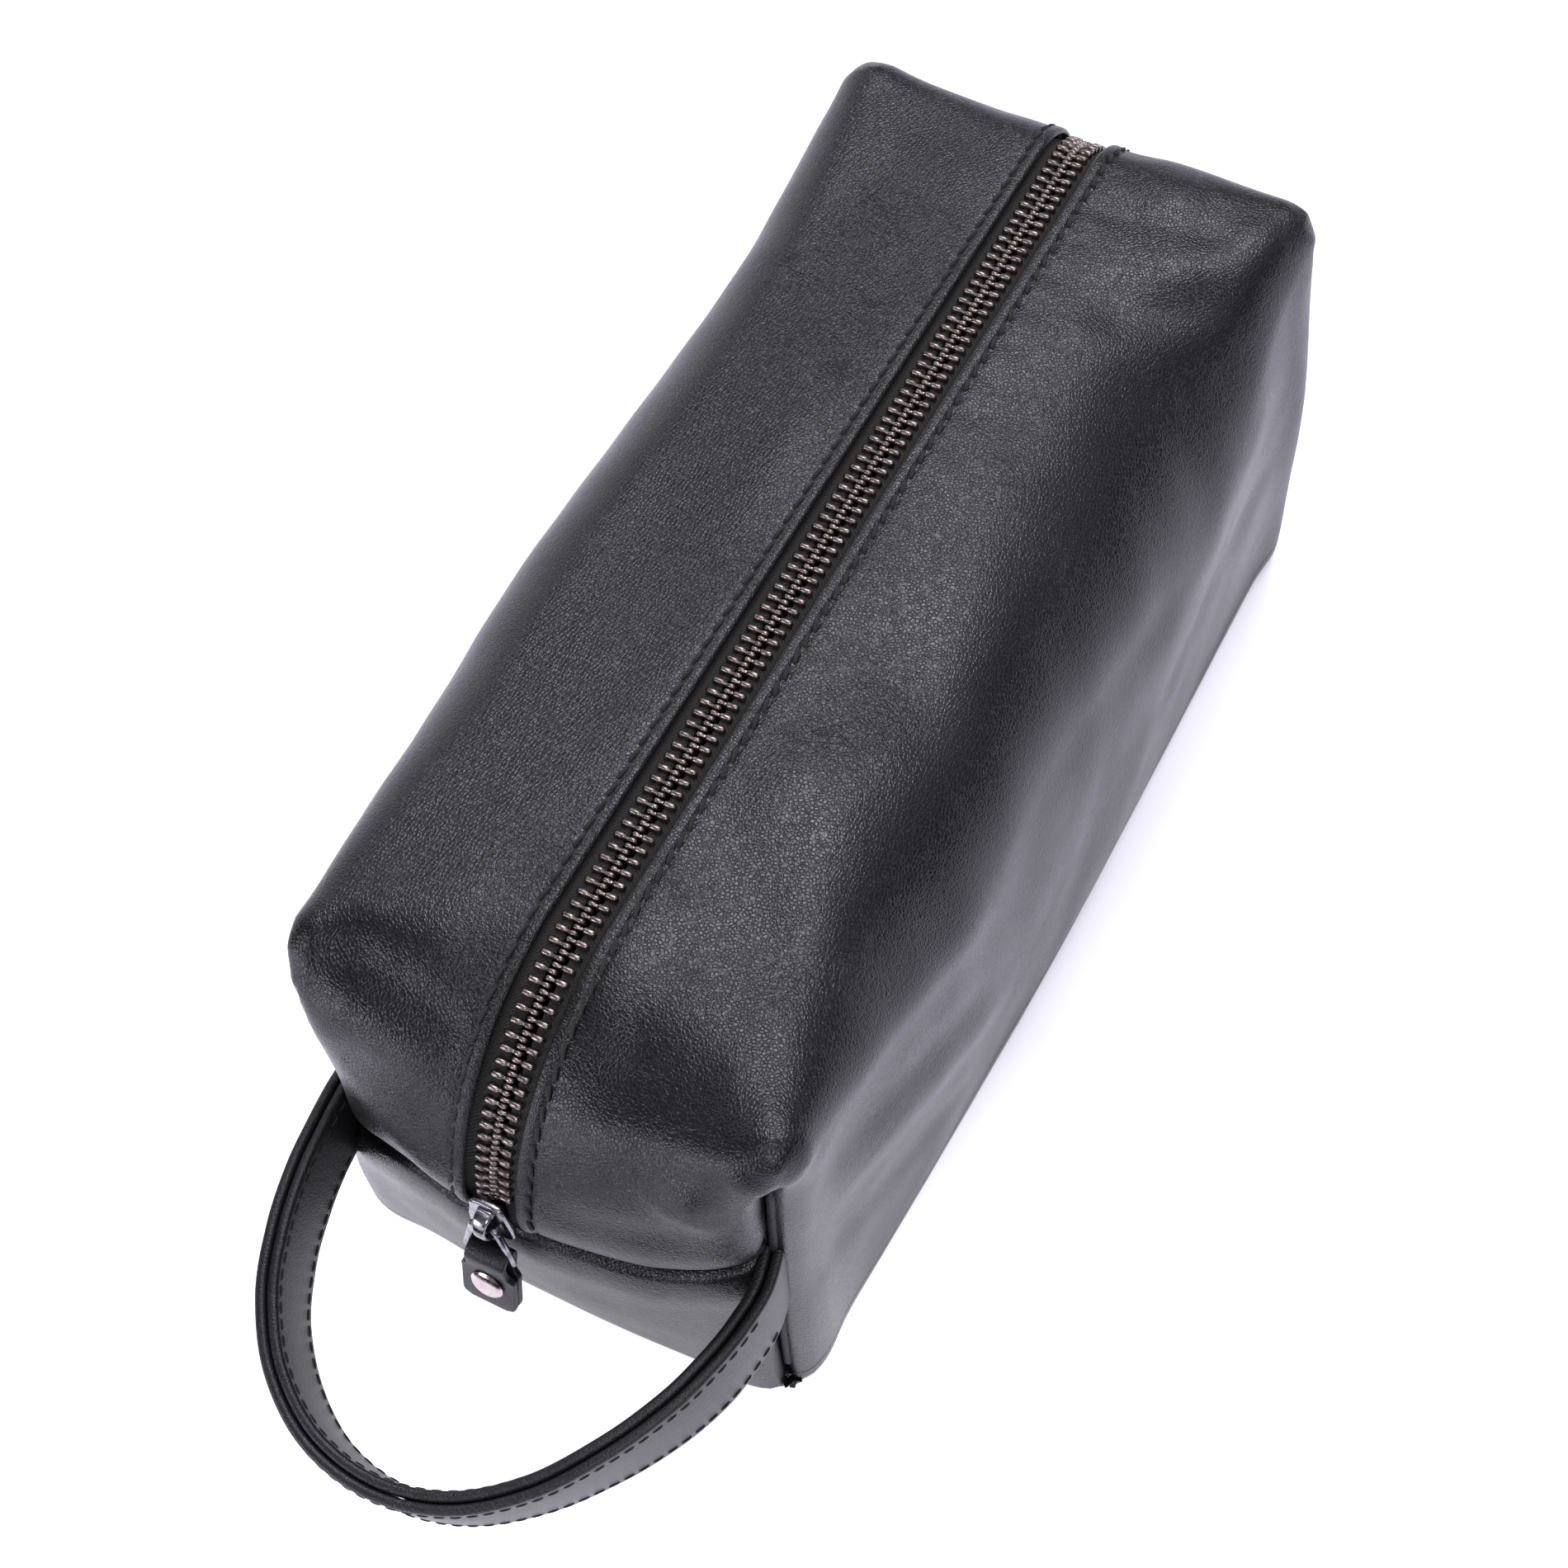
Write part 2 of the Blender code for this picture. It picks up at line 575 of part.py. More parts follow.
def rounded_end(frame, backwards):
    """Frames and half widths that round the strap's end about the pivot line."""
    point, outside, up = frame
    steps = 6
    rings = []
    for k in range(steps):
        angle = END_START_ANGLE + (math.pi / 2.0 - END_START_ANGLE) * k / steps
        centre = point + backwards * STRAP_HALF_WIDTH * math.cos(angle)
        rings.append((centre, outside, up, STRAP_HALF_WIDTH * math.sin(angle)))
    return rings


def level_direction(start, end):
    step = end - start
    step.z = 0.0
    return step.normalized()


def make_strap():
    frames = strap_frames()
    left_end = rounded_end(frames[0], level_direction(frames[1][0], frames[0][0]))
    right_end = rounded_end(frames[-1], level_direction(frames[-2][0], frames[-1][0]))
    whole = left_end + [(*frame, STRAP_HALF_WIDTH) for frame in frames] + right_end[::-1]
    for name, low in (("strap_outer", STRAP_SLIT / 2.0), ("strap_inner", -STRAP_SLIT / 2.0 - STRAP_LAYER)):
        high = low + STRAP_LAYER
        rings = []
        for point, outside, up, half in whole:
            rings.append([point + outside * off + up * half * edge
                          for off, edge in ((low, -1.0), (high, -1.0), (high, 1.0), (low, 1.0))])
        add(name, loft(rings), "strap_leather", (PIVOT_X, 0.0, PIVOT_Z), smooth=True)
    for side, sign in (("left", -1.0), ("right", 1.0)):
        add("strap_tail_" + side, loft(tail_rings(sign)), "strap_leather")


def tail_rings(sign):
    """The sewn-in end of the strap: a block with a hollow end that the round strap end turns in."""
    thickness = STRAP_LAYER + STRAP_SLIT / 2.0
    slope = (STRAP_ROUTE[0][1] - STRAP_ROUTE[1][1]) / (STRAP_ROUTE[1][0] - STRAP_ROUTE[0][0])
    reach = STRAP_HALF_WIDTH + TAIL_CLEARANCE
    steps = 10
    rings = []
    for k in range(steps + 1):
        angle = TAIL_TIP_ANGLE + (2.0 * math.pi - 2.0 * TAIL_TIP_ANGLE) * k / steps
        tip = (PIVOT_X + reach * math.cos(angle), PIVOT_Z + reach * math.sin(angle))
        root = (TAIL_START, PIVOT_Z + TAIL_HALF_WIDTH * (1.0 - 2.0 * k / steps))
        ring = []
        for (x, z), offs in ((root, (-thickness, thickness)), (tip, (thickness, -thickness))):
            y = PIVOT_Y + slope * (x - PIVOT_X)
            ring += [Vector((x, sign * (y + off), z)) for off in offs]
        rings.append(ring)
    return rings


def main():
    for old in list(bpy.data.objects):
        bpy.data.objects.remove(old, do_unlink=True)
    lattice = Lattice(X_LINES, mirrored(Y_HALF_LINES), Z_LINES)
    lining_lattice = Lattice(LINING_X_LINES, mirrored(LINING_Y_HALF_LINES), LINING_Z_LINES)
    make_body(lattice, lining_lattice)
    make_mouth(lattice, lining_lattice)
    make_teeth(zip_line())
    make_slider()
    make_link()
    make_tab()
    make_strap()


main()
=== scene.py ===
"""The finished look of the shaving kit bag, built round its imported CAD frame.

Lengths are in millimetres in the bag's own frame (+X towards the strap, +Z up) and become metres
when a mesh is made.
"""
import math

import bmesh
import bpy
import numpy as np
from mathutils import Matrix, Vector


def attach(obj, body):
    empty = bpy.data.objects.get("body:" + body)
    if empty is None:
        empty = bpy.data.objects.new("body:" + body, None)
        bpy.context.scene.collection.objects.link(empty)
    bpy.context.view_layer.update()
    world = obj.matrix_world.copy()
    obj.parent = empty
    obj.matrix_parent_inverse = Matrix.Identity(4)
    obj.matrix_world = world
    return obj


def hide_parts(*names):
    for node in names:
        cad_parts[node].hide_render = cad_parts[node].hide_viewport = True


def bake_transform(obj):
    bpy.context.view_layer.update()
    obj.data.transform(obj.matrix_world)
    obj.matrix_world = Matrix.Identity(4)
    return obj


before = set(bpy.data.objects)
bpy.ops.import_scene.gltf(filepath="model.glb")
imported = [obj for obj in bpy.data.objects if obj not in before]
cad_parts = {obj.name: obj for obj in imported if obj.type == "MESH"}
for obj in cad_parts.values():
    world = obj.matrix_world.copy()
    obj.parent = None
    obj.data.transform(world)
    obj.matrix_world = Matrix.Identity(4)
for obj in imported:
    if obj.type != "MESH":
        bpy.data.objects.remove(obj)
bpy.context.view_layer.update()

MM = 0.001

# ---- the bag's form ----
HALF_LENGTH = 115.0
HALF_WIDTH = 49.0
HEIGHT = 102.0
CROWN = 2.0
EDGE_RADIUS = 6.0         # of the box edges at the four ears
LONG_EDGE_RADII = (13.0, 23.0)         # of the long upper edges between the ears, left and right
FAR_ROUNDER = 9.0         # added to the right one towards the far end
EAR_SHIFTS = ((-3.0, 2.6), (0.8, 2.0)) # how far the ears lean to +Y: left (far, near), right (far, near)
EAR_POINTS = ((1.6, 1.6), (0.0, 3.0))  # how far the ears stick out, in the same order
FOOT_SPREAD = 2.5         # how far the right wall stands out below its ear
LEFT_SWELL = (2.0, 3.0)   # how far the left wall bellies out high up and low down
RIGHT_SWELL = 0.5
WAIST = 8.5               # how far the strap pulls the left corner seam in, round this height
WAIST_Z = 64.0
EAR_REACH = (1.5, 7.0)    # the leather is evened out round each ear, fully and then less
EAR_ROUNDS = 24
EAR_WIDTH = 11.0
SEAM_TILT = (-8.0, 7.0)   # how far the level seam drops at its left end and climbs at its right
CORNER_GROOVE = 2.5       # depth of the upright corner seams at the near end
FAR_GROOVE = 1.3          # and at the far end
SEAM_PINCH = (1.6, 4.5)   # depth and width of the hollow along an upright seam
SEAM_PUFF = (0.9, 10.0, 6.0)           # height, distance and width of the swelling beside it
LEVEL_PINCH = (1.0, 4.0)  # the same along the level seam
LEVEL_PUFF = (0.6, 9.0, 6.0)
CORNER_GROOVE_WIDTHS = (5.5, 2.2)      # on the end and on the side wall
FOOT_RADIUS = 4.0
NEAR_BULGE = 13.0         # how far the strap end swells out at its centre
NEAR_RADIUS = 40.0        # the arc that the zip follows down the strap end
TUCK = 0.85               # share of that swelling lost at the underside
FAR_BULGE = 2.5
FAR_RADIUS = 16.0
SIDE_BULGE = 3.0
STRETCH_FROM = 50.0       # the swelling of the ends is spread from here on
SAG = 1.2                 # of the top between the ears
ARC_X = HALF_LENGTH + NEAR_BULGE - NEAR_RADIUS
ARC_Z = HEIGHT + CROWN - NEAR_RADIUS

# ---- leather ----
THICKNESS = 1.4
ROLL = 1.5                # radius of the turned leather edge at a seam
SEAM_Z = 57.2             # the level seam across each end
SEAM_HALF = 1.7           # half the width of its channel
FOLD_Z = 6.2
SLOT = 5.0                # half the width of the slot over the zip
HEM_ROLL = 0.9
HEM_RISE = 0.45
ZIP_STITCH = 7.7          # the stitch line's distance from the middle of the zip
STITCH_PITCH = 3.8
STITCH_SIZE = (3.1, 0.40, 0.35)        # length, radius and how far its ends dive
STITCH_SLANT = 0.20
STITCH_RIM = 7            # points round a thread
PUCKER = (0.35, 9.3)      # depth and pitch of the gathers along the far right of the zip

# ---- zip, slider and tab ----
TOOTH_PITCH = 2.5
CHAIN_DEPTH = 1.6         # of the middle of the teeth under the leather's surface
TAPE_DEPTH = 2.0
CHAIN_START = 10.5        # the first teeth, just past the slider's mouth
CHAIN_TAIL = 3.0          # left free of teeth at the far end
TOP_PLATE = (0.25, 1.65)  # of the slider, in height over the chain's surface
UNDER_PLATE = (-4.9, -3.65)
CROWN_FOOT = 2.0
CROWN_ARCH = (3.3, 2.7)   # half its length, and its rise
BAR_HEIGHT = 3.0
LINK_LENGTH = 10.5
LINK_HALF_WIDTHS = (2.7, 5.5)
LINK_TILT = math.radians(4.0)
TAB_TILT = math.radians(7.0)
TAB_LENGTH = 13.5
TAB_HALF_WIDTH = 5.4
TAB_NECK = 4.0
TAB_CORNER = 1.6
TAB_THICKNESS = 1.3
RIVET_AT = 7.3

# ---- layers under the leather ----
WELT_DEPTH = 1.9
WELT_RADIUS = 1.15
CORNER_WELT_DEPTH = 3.0
CORNER_WELT_RADIUS = 0.9
LINING_DEPTH = 3.3
BINDING_DEPTH = 2.9
CLOTH = 0.4
LINING_SLOT = 9.0
LINING_TOP = 54.0         # of the lower lining
LINING_FOOT = 60.0        # of the upper lining, on the ends
BINDING_FOOT = 48.0
BINDING_HALF = 41.0
CORNER_WELT_ENDS = (8.0, 84.0)

# ---- strap ----
STRAP_HALF = 10.0
STRAP_LAYER = 2.0
STRAP_GAP = 0.1           # half the gap between the layers
STRAP_STITCH = 2.2        # from each edge to the stitches
STRAP_STITCH_PITCH = 2.9
STRAP_STITCH_SIZE = (2.2, 0.17, 0.2)
STRAP_HIDDEN = 14         # steps of the route inside the corner seams, without stitches
STRAP_ROUTE = (           # x, y, z and outward lean along its middle, left to right
    (110.0, -40.0, 48.0, 0.0), (118.0, -39.6, 48.6, 0.0), (126.0, -38.7, 48.8, 0.0),
    (134.0, -37.4, 48.3, 0.03), (144.0, -34.8, 46.9, 0.06), (154.5, -30.2, 44.6, 0.12),
    (164.0, -22.3, 42.0, 0.20), (170.6, -11.5, 39.4, 0.24), (172.6, 1.5, 38.4, 0.25),
    (169.6, 14.5, 39.6, 0.24), (162.0, 26.0, 42.4, 0.20), (152.0, 35.0, 45.8, 0.12),
    (142.0, 41.2, 48.2, 0.05), (133.0, 44.6, 49.4, 0.0), (125.0, 46.2, 50.4, 0.0),
    (118.0, 46.6, 51.8, 0.0), (110.0, 45.2, 54.0, 0.0),
)

# ---- camera and light ----
CAMERA_PLACE = (273.39, 156.97, 507.81)
CAMERA_LOOK = (-0.46090, -0.28867, -0.83919)
CAMERA_RIGHT = (-0.4644, 0.8839, -0.0493)
CAMERA_LENS = 65.31
FLOOR_SIZE = 6.0          # half of it, in metres
FLOOR_GLOW = 0.75         # of the paper inside the strap, where the bag shades it
HORIZON = 0.12            # brightness of the darkest part of the room
SOFTBOXES = (             # direction, cosines of the rim and of the middle, brightness
    ((-0.400, -0.050, 0.915), 0.955, 0.987, 12.0),
    ((-0.440, -0.840, 0.320), 0.90, 0.98, 1.6),
    ((0.840, -0.500, 0.220), 0.945, 0.982, 7.0),
)
GLOW_CENTRE = (0.175, 0.0, 0.0)
GLOW_REACH = (0.06, 0.16)
FLOOR_LIGHT = 0.19        # and of the rest
CEILING_FADE = (0.36, 0.82)            # from this slope upwards the room is lit, fully from the next
SIDE_FADE = (-0.55, 0.05, 0.80, 1.50)  # and more on its right: from, to, strength there
BACK_FADE = (-0.30, 0.10, 1.0, 0.12)   # and less behind the strap
LIGHT_TINT = (0.96, 0.95, 1.0, 1.0)
BOX_PLACE = (0.9, 0.7, 1.3)            # of the soft box lamp, in metres, with its target, size and power
BOX_TARGET = (0.0, 0.0, 0.05)
BOX_SIZE = (0.8, 0.8)
BOX_POWER = 12.0

# ---- folds: start, end, half width and height, along the leather ----
FOLDS = (
    ((117.0, -43.0, 96.0), (110.0, -27.0, 101.5), 4.2, -1.0),    # valley from the left ear to the zip
    ((110.0, -30.0, 101.5), (115.0, -8.0, 95.0), 4.2, -0.9),
    ((104.0, -40.0, 103.0), (106.0, -12.0, 102.0), 6.0, 0.5),
    ((117.5, -38.0, 95.0), (120.5, -11.0, 89.5), 6.5, 0.8),      # full roll under it
    ((121.5, -34.0, 84.0), (125.5, -8.0, 78.0), 5.5, -0.7),      # hollow over the level seam
    ((124.5, -32.0, 76.0), (129.0, -9.0, 68.0), 5.0, 0.8),
    ((115.0, 44.0, 99.0), (120.0, 11.0, 91.0), 5.5, 0.9),        # edge that runs to the right ear
    ((104.0, 36.0, 104.0), (110.0, 14.0, 101.5), 8.0, -0.8),
    ((116.5, 43.0, 96.0), (118.0, 40.0, 84.0), 3.0, -0.8),
    ((118.5, 37.0, 90.0), (120.0, 33.0, 82.0), 5.5, 1.2),        # roll under the ear
    ((121.0, 38.0, 76.0), (128.0, 12.0, 71.0), 5.0, -0.6),
    ((106.0, 50.0, 92.0), (36.0, 54.0, 74.0), 6.0, 1.1),         # along the right wall from its ear
    ((108.0, 50.0, 76.0), (48.0, 53.0, 52.0), 5.0, -1.0),
    ((106.0, 50.0, 62.0), (34.0, 53.0, 38.0), 6.0, 0.9),
    ((104.0, 50.0, 44.0), (50.0, 53.0, 20.0), 5.0, -0.7),
    ((30.0, 51.0, 84.0), (-50.0, 53.0, 64.0), 9.0, -0.9),
    ((-20.0, 52.0, 60.0), (-96.0, 52.0, 76.0), 8.0, 1.0),
    ((-30.0, 52.0, 40.0), (-100.0, 52.0, 52.0), 7.0, -0.8),
    ((-78.0, 34.0, 102.0), (-106.0, 22.0, 103.0), 7.0, 1.2),     # lump beside the far right ear
    ((-76.0, 42.0, 96.0), (-106.0, 42.0, 100.0), 7.5, 1.5),
    ((-88.0, 46.0, 98.0), (-66.0, 20.0, 103.0), 5.5, -1.3),
    ((-98.0, 44.0, 99.0), (-92.0, 10.0, 103.0), 4.0, -0.6),
    ((-60.0, 40.0, 98.0), (-34.0, 12.0, 103.0), 8.0, -0.6),
    ((60.0, 12.0, 103.0), (88.0, 36.0, 98.0), 7.0, -0.8),
    ((8.0, 18.0, 103.0), (38.0, 36.0, 98.0), 8.0, -0.6),
    ((-106.0, -30.0, 102.0), (-60.0, -38.0, 101.0), 9.0, -0.6),
)
WAVES = (                 # direction, length, height and shift
    ((0.8, 0.5, 0.3), 71.0, 0.34, 0.4),
    ((-0.4, 0.8, 0.5), 53.0, 0.28, 1.9),
    ((0.6, -0.3, 0.7), 37.0, 0.17, 3.1),
    ((0.3, 0.9, -0.3), 23.0, 0.08, 0.9),
    ((0.9, -0.2, 0.4), 17.0, 0.05, 2.2),
)


# ---------------------------------------------------------------- small helpers

def unit(rows):
    """The same vectors with length 1."""
    return rows / np.maximum(np.linalg.norm(rows, axis=-1, keepdims=True), 1e-12)


def turn(count):
    """Angles that divide a full turn evenly."""
    return np.linspace(0.0, 2.0 * math.pi, count, endpoint=False)


def squarish(angle, *powers):
    """Cosine and sine of an angle, pushed out towards a square by powers below 1."""
    values = (math.cos(angle), math.sin(angle))
    return [math.copysign(abs(value) ** power, value) for value, power in zip(values, powers)]


def add_object(name, data):
    obj = bpy.data.objects.new(name, data)
    bpy.context.scene.collection.objects.link(obj)
    return obj


def fit(obj, nodes=(), body=None):
    """Hide the nodes that a piece stands for, and attach it to the body that it rides, if only one."""
    if body:
        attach(obj, body)
    if nodes:
        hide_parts(*nodes)


# ---------------------------------------------------------------- the bag's surface

def smooth(t):
    t = np.clip(t, 0.0, 1.0)
    return t * t * (3.0 - 2.0 * t)


def bump(distance, width):
    return np.exp(-(distance / width) ** 2)


def round_corner(a, b, a_edge, b_edge, radius):
    da = a - (a_edge - radius)
    db = b - (b_edge - radius)
    inside = (da > 0.0) & (db > 0.0)
    length = np.where(inside, np.hypot(da, db), 1.0)
    reach = np.where(inside, np.maximum(da, db) / length, 1.0)
    return (np.where(inside, a_edge - radius + da * reach, a),
            np.where(inside, b_edge - radius + db * reach, b))


def base_point(box):
    """Take points of the plain box, as rows of x, y, z, to their places on the soft bag."""
    x, y, z = np.abs(box[:, 0]), np.abs(box[:, 1]), box[:, 2]
    near = box[:, 0] >= 0.0
    x_sign = np.where(near, 1.0, -1.0)
    y_sign = np.where(box[:, 1] >= 0.0, 1.0, -1.0)
    x, y = round_corner(x, y, HALF_LENGTH, HALF_WIDTH, EDGE_RADIUS)
    between = smooth((HALF_LENGTH - x) / 62.0)
    right_edge = LONG_EDGE_RADII[1] + FAR_ROUNDER * smooth((20.0 - box[:, 0]) / 80.0)
    long_edge = np.where(y_sign > 0.0, right_edge, LONG_EDGE_RADII[0])
    y, z = round_corner(y, z, HALF_WIDTH, HEIGHT, EDGE_RADIUS + (long_edge - EDGE_RADIUS) * between)
    y, drop = round_corner(y, -z, HALF_WIDTH, 0.0, FOOT_RADIUS)
    z = -drop
    across = y / HALF_WIDTH
    middle = 1.0 - across ** 2.2
    low = np.maximum(0.0, 1.0 - z / ARC_Z)
    swell = np.where(near, NEAR_BULGE * middle * (1.0 - TUCK * low ** 2), FAR_BULGE * middle)
    radius = EDGE_RADIUS + (np.where(near, NEAR_RADIUS, FAR_RADIUS) - EDGE_RADIUS) * (1.0 - across ** 1.8)
    stretch = np.maximum(0.0, x - STRETCH_FROM) / (HALF_LENGTH - STRETCH_FROM)
    x = x + swell * stretch
    top = HEIGHT + CROWN * (1.0 - across ** 2)
    z = z * top / HEIGHT
    end = HALF_LENGTH + swell
    x, z = round_corner(x, z, end, top, radius)
    x, drop = round_corner(x, -z, end, 0.0, FOOT_RADIUS)
    z = -drop
    along = np.minimum(1.0, x / HALF_LENGTH)
    swell = (1.0 - along ** 2) * np.sin(math.pi * np.minimum(1.0, z / HEIGHT))
    y = y * (1.0 + SIDE_BULGE / HALF_WIDTH * swell * across ** 2)
    return settle(np.stack([x * x_sign, y * y_sign, z], axis=1))


def by_ear(values, x, y):
    """One value for each place, by the ear that it is nearest to: left (far, near), right (far, near)."""
    left, right = values
    return np.where(y > 0.0, np.where(x < 0.0, *right), np.where(x < 0.0, *left))


def settle(p):
    """Lean the ears, spread the walls and pull in the waist, as the soft bag stands."""
    x, y, z = p.T
    along = np.clip(x / HALF_LENGTH, -1.0, 1.0)
    share = np.minimum(1.0, np.abs(y) / HALF_WIDTH) ** 2
    right = y > 0.0
    middle = 1.0 - along ** 2
    low = smooth((HEIGHT - z) / 50.0)
    ears = smooth((np.abs(x) - 60.0) / 55.0) * np.clip(z / HEIGHT, 0.0, 1.0) ** 2
    lean = by_ear(EAR_SHIFTS, x, y)
    spread = FOOT_SPREAD * (1.0 - smooth((x - 10.0) / 105.0)) * low + RIGHT_SWELL * middle
    swell = -middle * (LEFT_SWELL[0] * (1.0 - low) + LEFT_SWELL[1] * low)
    waist = WAIST * bump(z - WAIST_Z, 27.0) * smooth((x - 55.0) / 60.0)
    moved = y + share * (lean * ears + np.where(right, spread, swell + waist))
    outer = smooth((np.abs(y) - 10.0) / 25.0)
    sunk = z - SAG * middle * smooth((z - 70.0) / 30.0) * outer
    tilt = np.where(right, SEAM_TILT[1] * smooth((np.abs(y) - 26.0) / 22.0),
                    SEAM_TILT[0] * smooth((np.abs(y) - 18.0) / 28.0))
    sunk += tilt * bump(z - SEAM_Z, 26.0) * smooth((x - 78.0) / 37.0)
    return np.stack([x, moved, sunk], axis=1)


def base_normal(box):
    """Outward directions of the surface at points of the box, from small steps within its faces."""
    step = 0.04
    at = base_point(box)
    sides = (HALF_LENGTH - np.abs(box[:, 0]), HALF_WIDTH - np.abs(box[:, 1]),
             np.minimum(box[:, 2], HEIGHT - box[:, 2]))
    face = np.argmin(np.stack(sides, axis=1), axis=1)
    centre = np.array([0.0, 0.0, HEIGHT / 2.0])
    found = np.zeros_like(at)
    for axis in range(3):
        rows = face == axis
        if not rows.any():
            continue
        moved = []
        for other in ((axis + 1) % 3, (axis + 2) % 3):
            inward = np.where(box[rows, other] > centre[other], -1.0, 1.0)
            shifted = box[rows].copy()
            shifted[:, other] += inward * step
            moved.append((base_point(shifted) - at[rows]) * inward[:, None])
        facing = np.cross(moved[0], moved[1])
        found[rows] = unit(facing * np.where(box[rows, axis] > centre[axis], 1.0, -1.0)[:, None])
    return found


def laid_on(folds):
    """The same folds, with their ends moved to the nearest places on the plain form."""
    lengths = np.arange(-HALF_LENGTH, HALF_LENGTH + 1.0, 2.5)
    widths = np.arange(-HALF_WIDTH, HALF_WIDTH + 1.0, 2.0)
    heights = np.arange(0.0, HEIGHT + 1.0, 2.0)
    rows = [(x, y, HEIGHT) for x in lengths for y in widths]
    rows += [(x, y, z) for x in (-HALF_LENGTH, HALF_LENGTH) for y in widths for z in heights]
    rows += [(x, y, z) for x in lengths for y in (-HALF_WIDTH, HALF_WIDTH) for z in heights]
    places = base_point(np.array(rows))
    found = []
    for start, end, width, height in folds:
        ends = [places[np.argmin(np.linalg.norm(places - np.array(point), axis=1))] for point in (start, end)]
        found.append((ends[0], ends[1], width, height))
    return found


def ridge(p, start, end, width, height):
    """A soft fold of leather along a line between two points, fading at both ends."""
    line = end - start
    t = ((p - start) @ line) / (line @ line)
    nearest = start + np.clip(t, 0.0, 1.0)[:, None] * line
    away = np.linalg.norm(p - nearest, axis=1)
    return height * bump(away, width) * smooth(np.minimum(t, 1.0 - t) / 0.35 + 0.25)


LAID_FOLDS = laid_on(FOLDS)


def undulate(p):
    """Slow unevenness of the leather, a few waves that cross."""
    found = np.zeros(len(p))
    for direction, length, height, shift in WAVES:
        found += height * np.sin(2.0 * math.pi * (p @ np.array(direction)) / length + shift)
    return found


def seam_swell(distance, pinch, puff):
    """The hollow along a seam and the swelling beside it."""
    return puff[0] * bump(distance - puff[1], puff[2]) - pinch[0] * bump(distance, pinch[1])


def drape(box, p):
    """How far the leather stands out from the plain form: folds, sags and pinched seams."""
    x, y, z = box[:, 0], box[:, 1], box[:, 2]
    to_end = HALF_LENGTH - np.abs(x)
    to_side = HALF_WIDTH - np.abs(y)
    on_end = to_end < 0.01
    seam = np.hypot(to_end, to_side)
    upright = smooth((HEIGHT - 5.0 - z) / 10.0)
    out = upright * seam_swell(seam, SEAM_PINCH, SEAM_PUFF)
    out += np.where(on_end, seam_swell(np.abs(z - SEAM_Z), LEVEL_PINCH, LEVEL_PUFF), 0.0)
    corner = np.sqrt(to_end ** 2 + to_side ** 2 + (HEIGHT - z) ** 2)
    out += by_ear(EAR_POINTS, x, y) * bump(corner, EAR_WIDTH)
    away = smooth((np.abs(y) - 9.0) / 10.0) * smooth(z / 12.0) * smooth((seam - 2.0) / 8.0)
    out += away * undulate(p)
    for start, end, width, height in LAID_FOLDS:
        out += ridge(p, start, end, width, height) * smooth((np.abs(y) - 8.0) / 3.0)
    on_top = z > HEIGHT - 0.01
    pucker = PUCKER[0] * np.maximum(0.0, np.sin(x * 2.0 * math.pi / PUCKER[1]))
    pucker *= bump(y - ZIP_STITCH - 3.0, 3.0) * bump(x + 62.0, 48.0)
    out -= np.where(on_top & (y > ZIP_STITCH + 0.3), pucker, 0.0)
    hem = np.abs(y) - SLOT
    rise = HEM_RISE * smooth((ZIP_STITCH - SLOT + 0.6 - hem) / 1.2)
    rise -= 0.30 * bump(hem - (ZIP_STITCH - SLOT), 0.55)
    rise -= rolled(hem, HEM_ROLL)
    out += np.where(on_top | (on_end & (z > SEAM_Z)), rise, 0.0)
    return out


def rolled(distance, radius):
    """Depth of a leather edge that turns down at a seam or a hem, by distance from it."""
    edge = np.clip((radius - distance) / radius, 0.0, 1.0)
    return radius * (1.0 - np.sqrt(np.maximum(0.0, 1.0 - edge ** 2)))


def skin_point(box, depth=0.0, edges=True, plain=None):
    """Points of the draped leather under given box points, at a depth under its outer face.

    plain holds the places and outward directions on the plain form, where they are known already.
    """
    at, normal = plain or (base_point(box), base_normal(box))
    out = drape(box, at)
    if edges:
        x, y, z = box[:, 0], box[:, 1], box[:, 2]
        to_end = HALF_LENGTH - np.abs(x)
        to_side = HALF_WIDTH - np.abs(y)
        on_end = to_end < 0.01
        on_side = to_side < 0.01
        upright = smooth((HEIGHT - 6.0 - z) / 9.0) * smooth(z / 5.0)
        away = np.where(on_end, to_side / CORNER_GROOVE_WIDTHS[0],
                        np.where(on_side, to_end / CORNER_GROOVE_WIDTHS[1], 99.0))
        deep = np.where(x > 0.0, CORNER_GROOVE, FAR_GROOVE)
        out -= deep * (1.0 - smooth(away)) * upright
        out -= np.where(on_end, rolled(np.abs(z - SEAM_Z) - SEAM_HALF, ROLL), 0.0)
    return at + normal * (out - depth)[:, None], normal


# ---------------------------------------------------------------- meshes

def new_mesh(name, verts, faces, paint, uv=None):
    """An object from points in millimetres."""
    data = bpy.data.meshes.new(name)
    data.from_pydata([tuple(v) for v in np.asarray(verts, float) * MM], [], [tuple(f) for f in faces])
    data.shade_smooth()
    data.set_sharp_from_angle(angle=math.radians(50.0))
    if uv is not None:
        layer = data.uv_layers.new(name="UVMap")
        corners = np.zeros(len(data.loops), int)
        data.loops.foreach_get("vertex_index", corners)
        layer.data.foreach_set("uv", np.asarray(uv, float)[corners].ravel())
    data.materials.append(paint)
    return add_object(name, data)


def vertex_normals(points, quads):
    a, b, c, d = (points[quads[:, k]] for k in range(4))
    facing = unit(np.cross(c - a, d - b))
    found = np.zeros_like(points)
    for corner in range(4):
        np.add.at(found, quads[:, corner], facing)
    return unit(found)


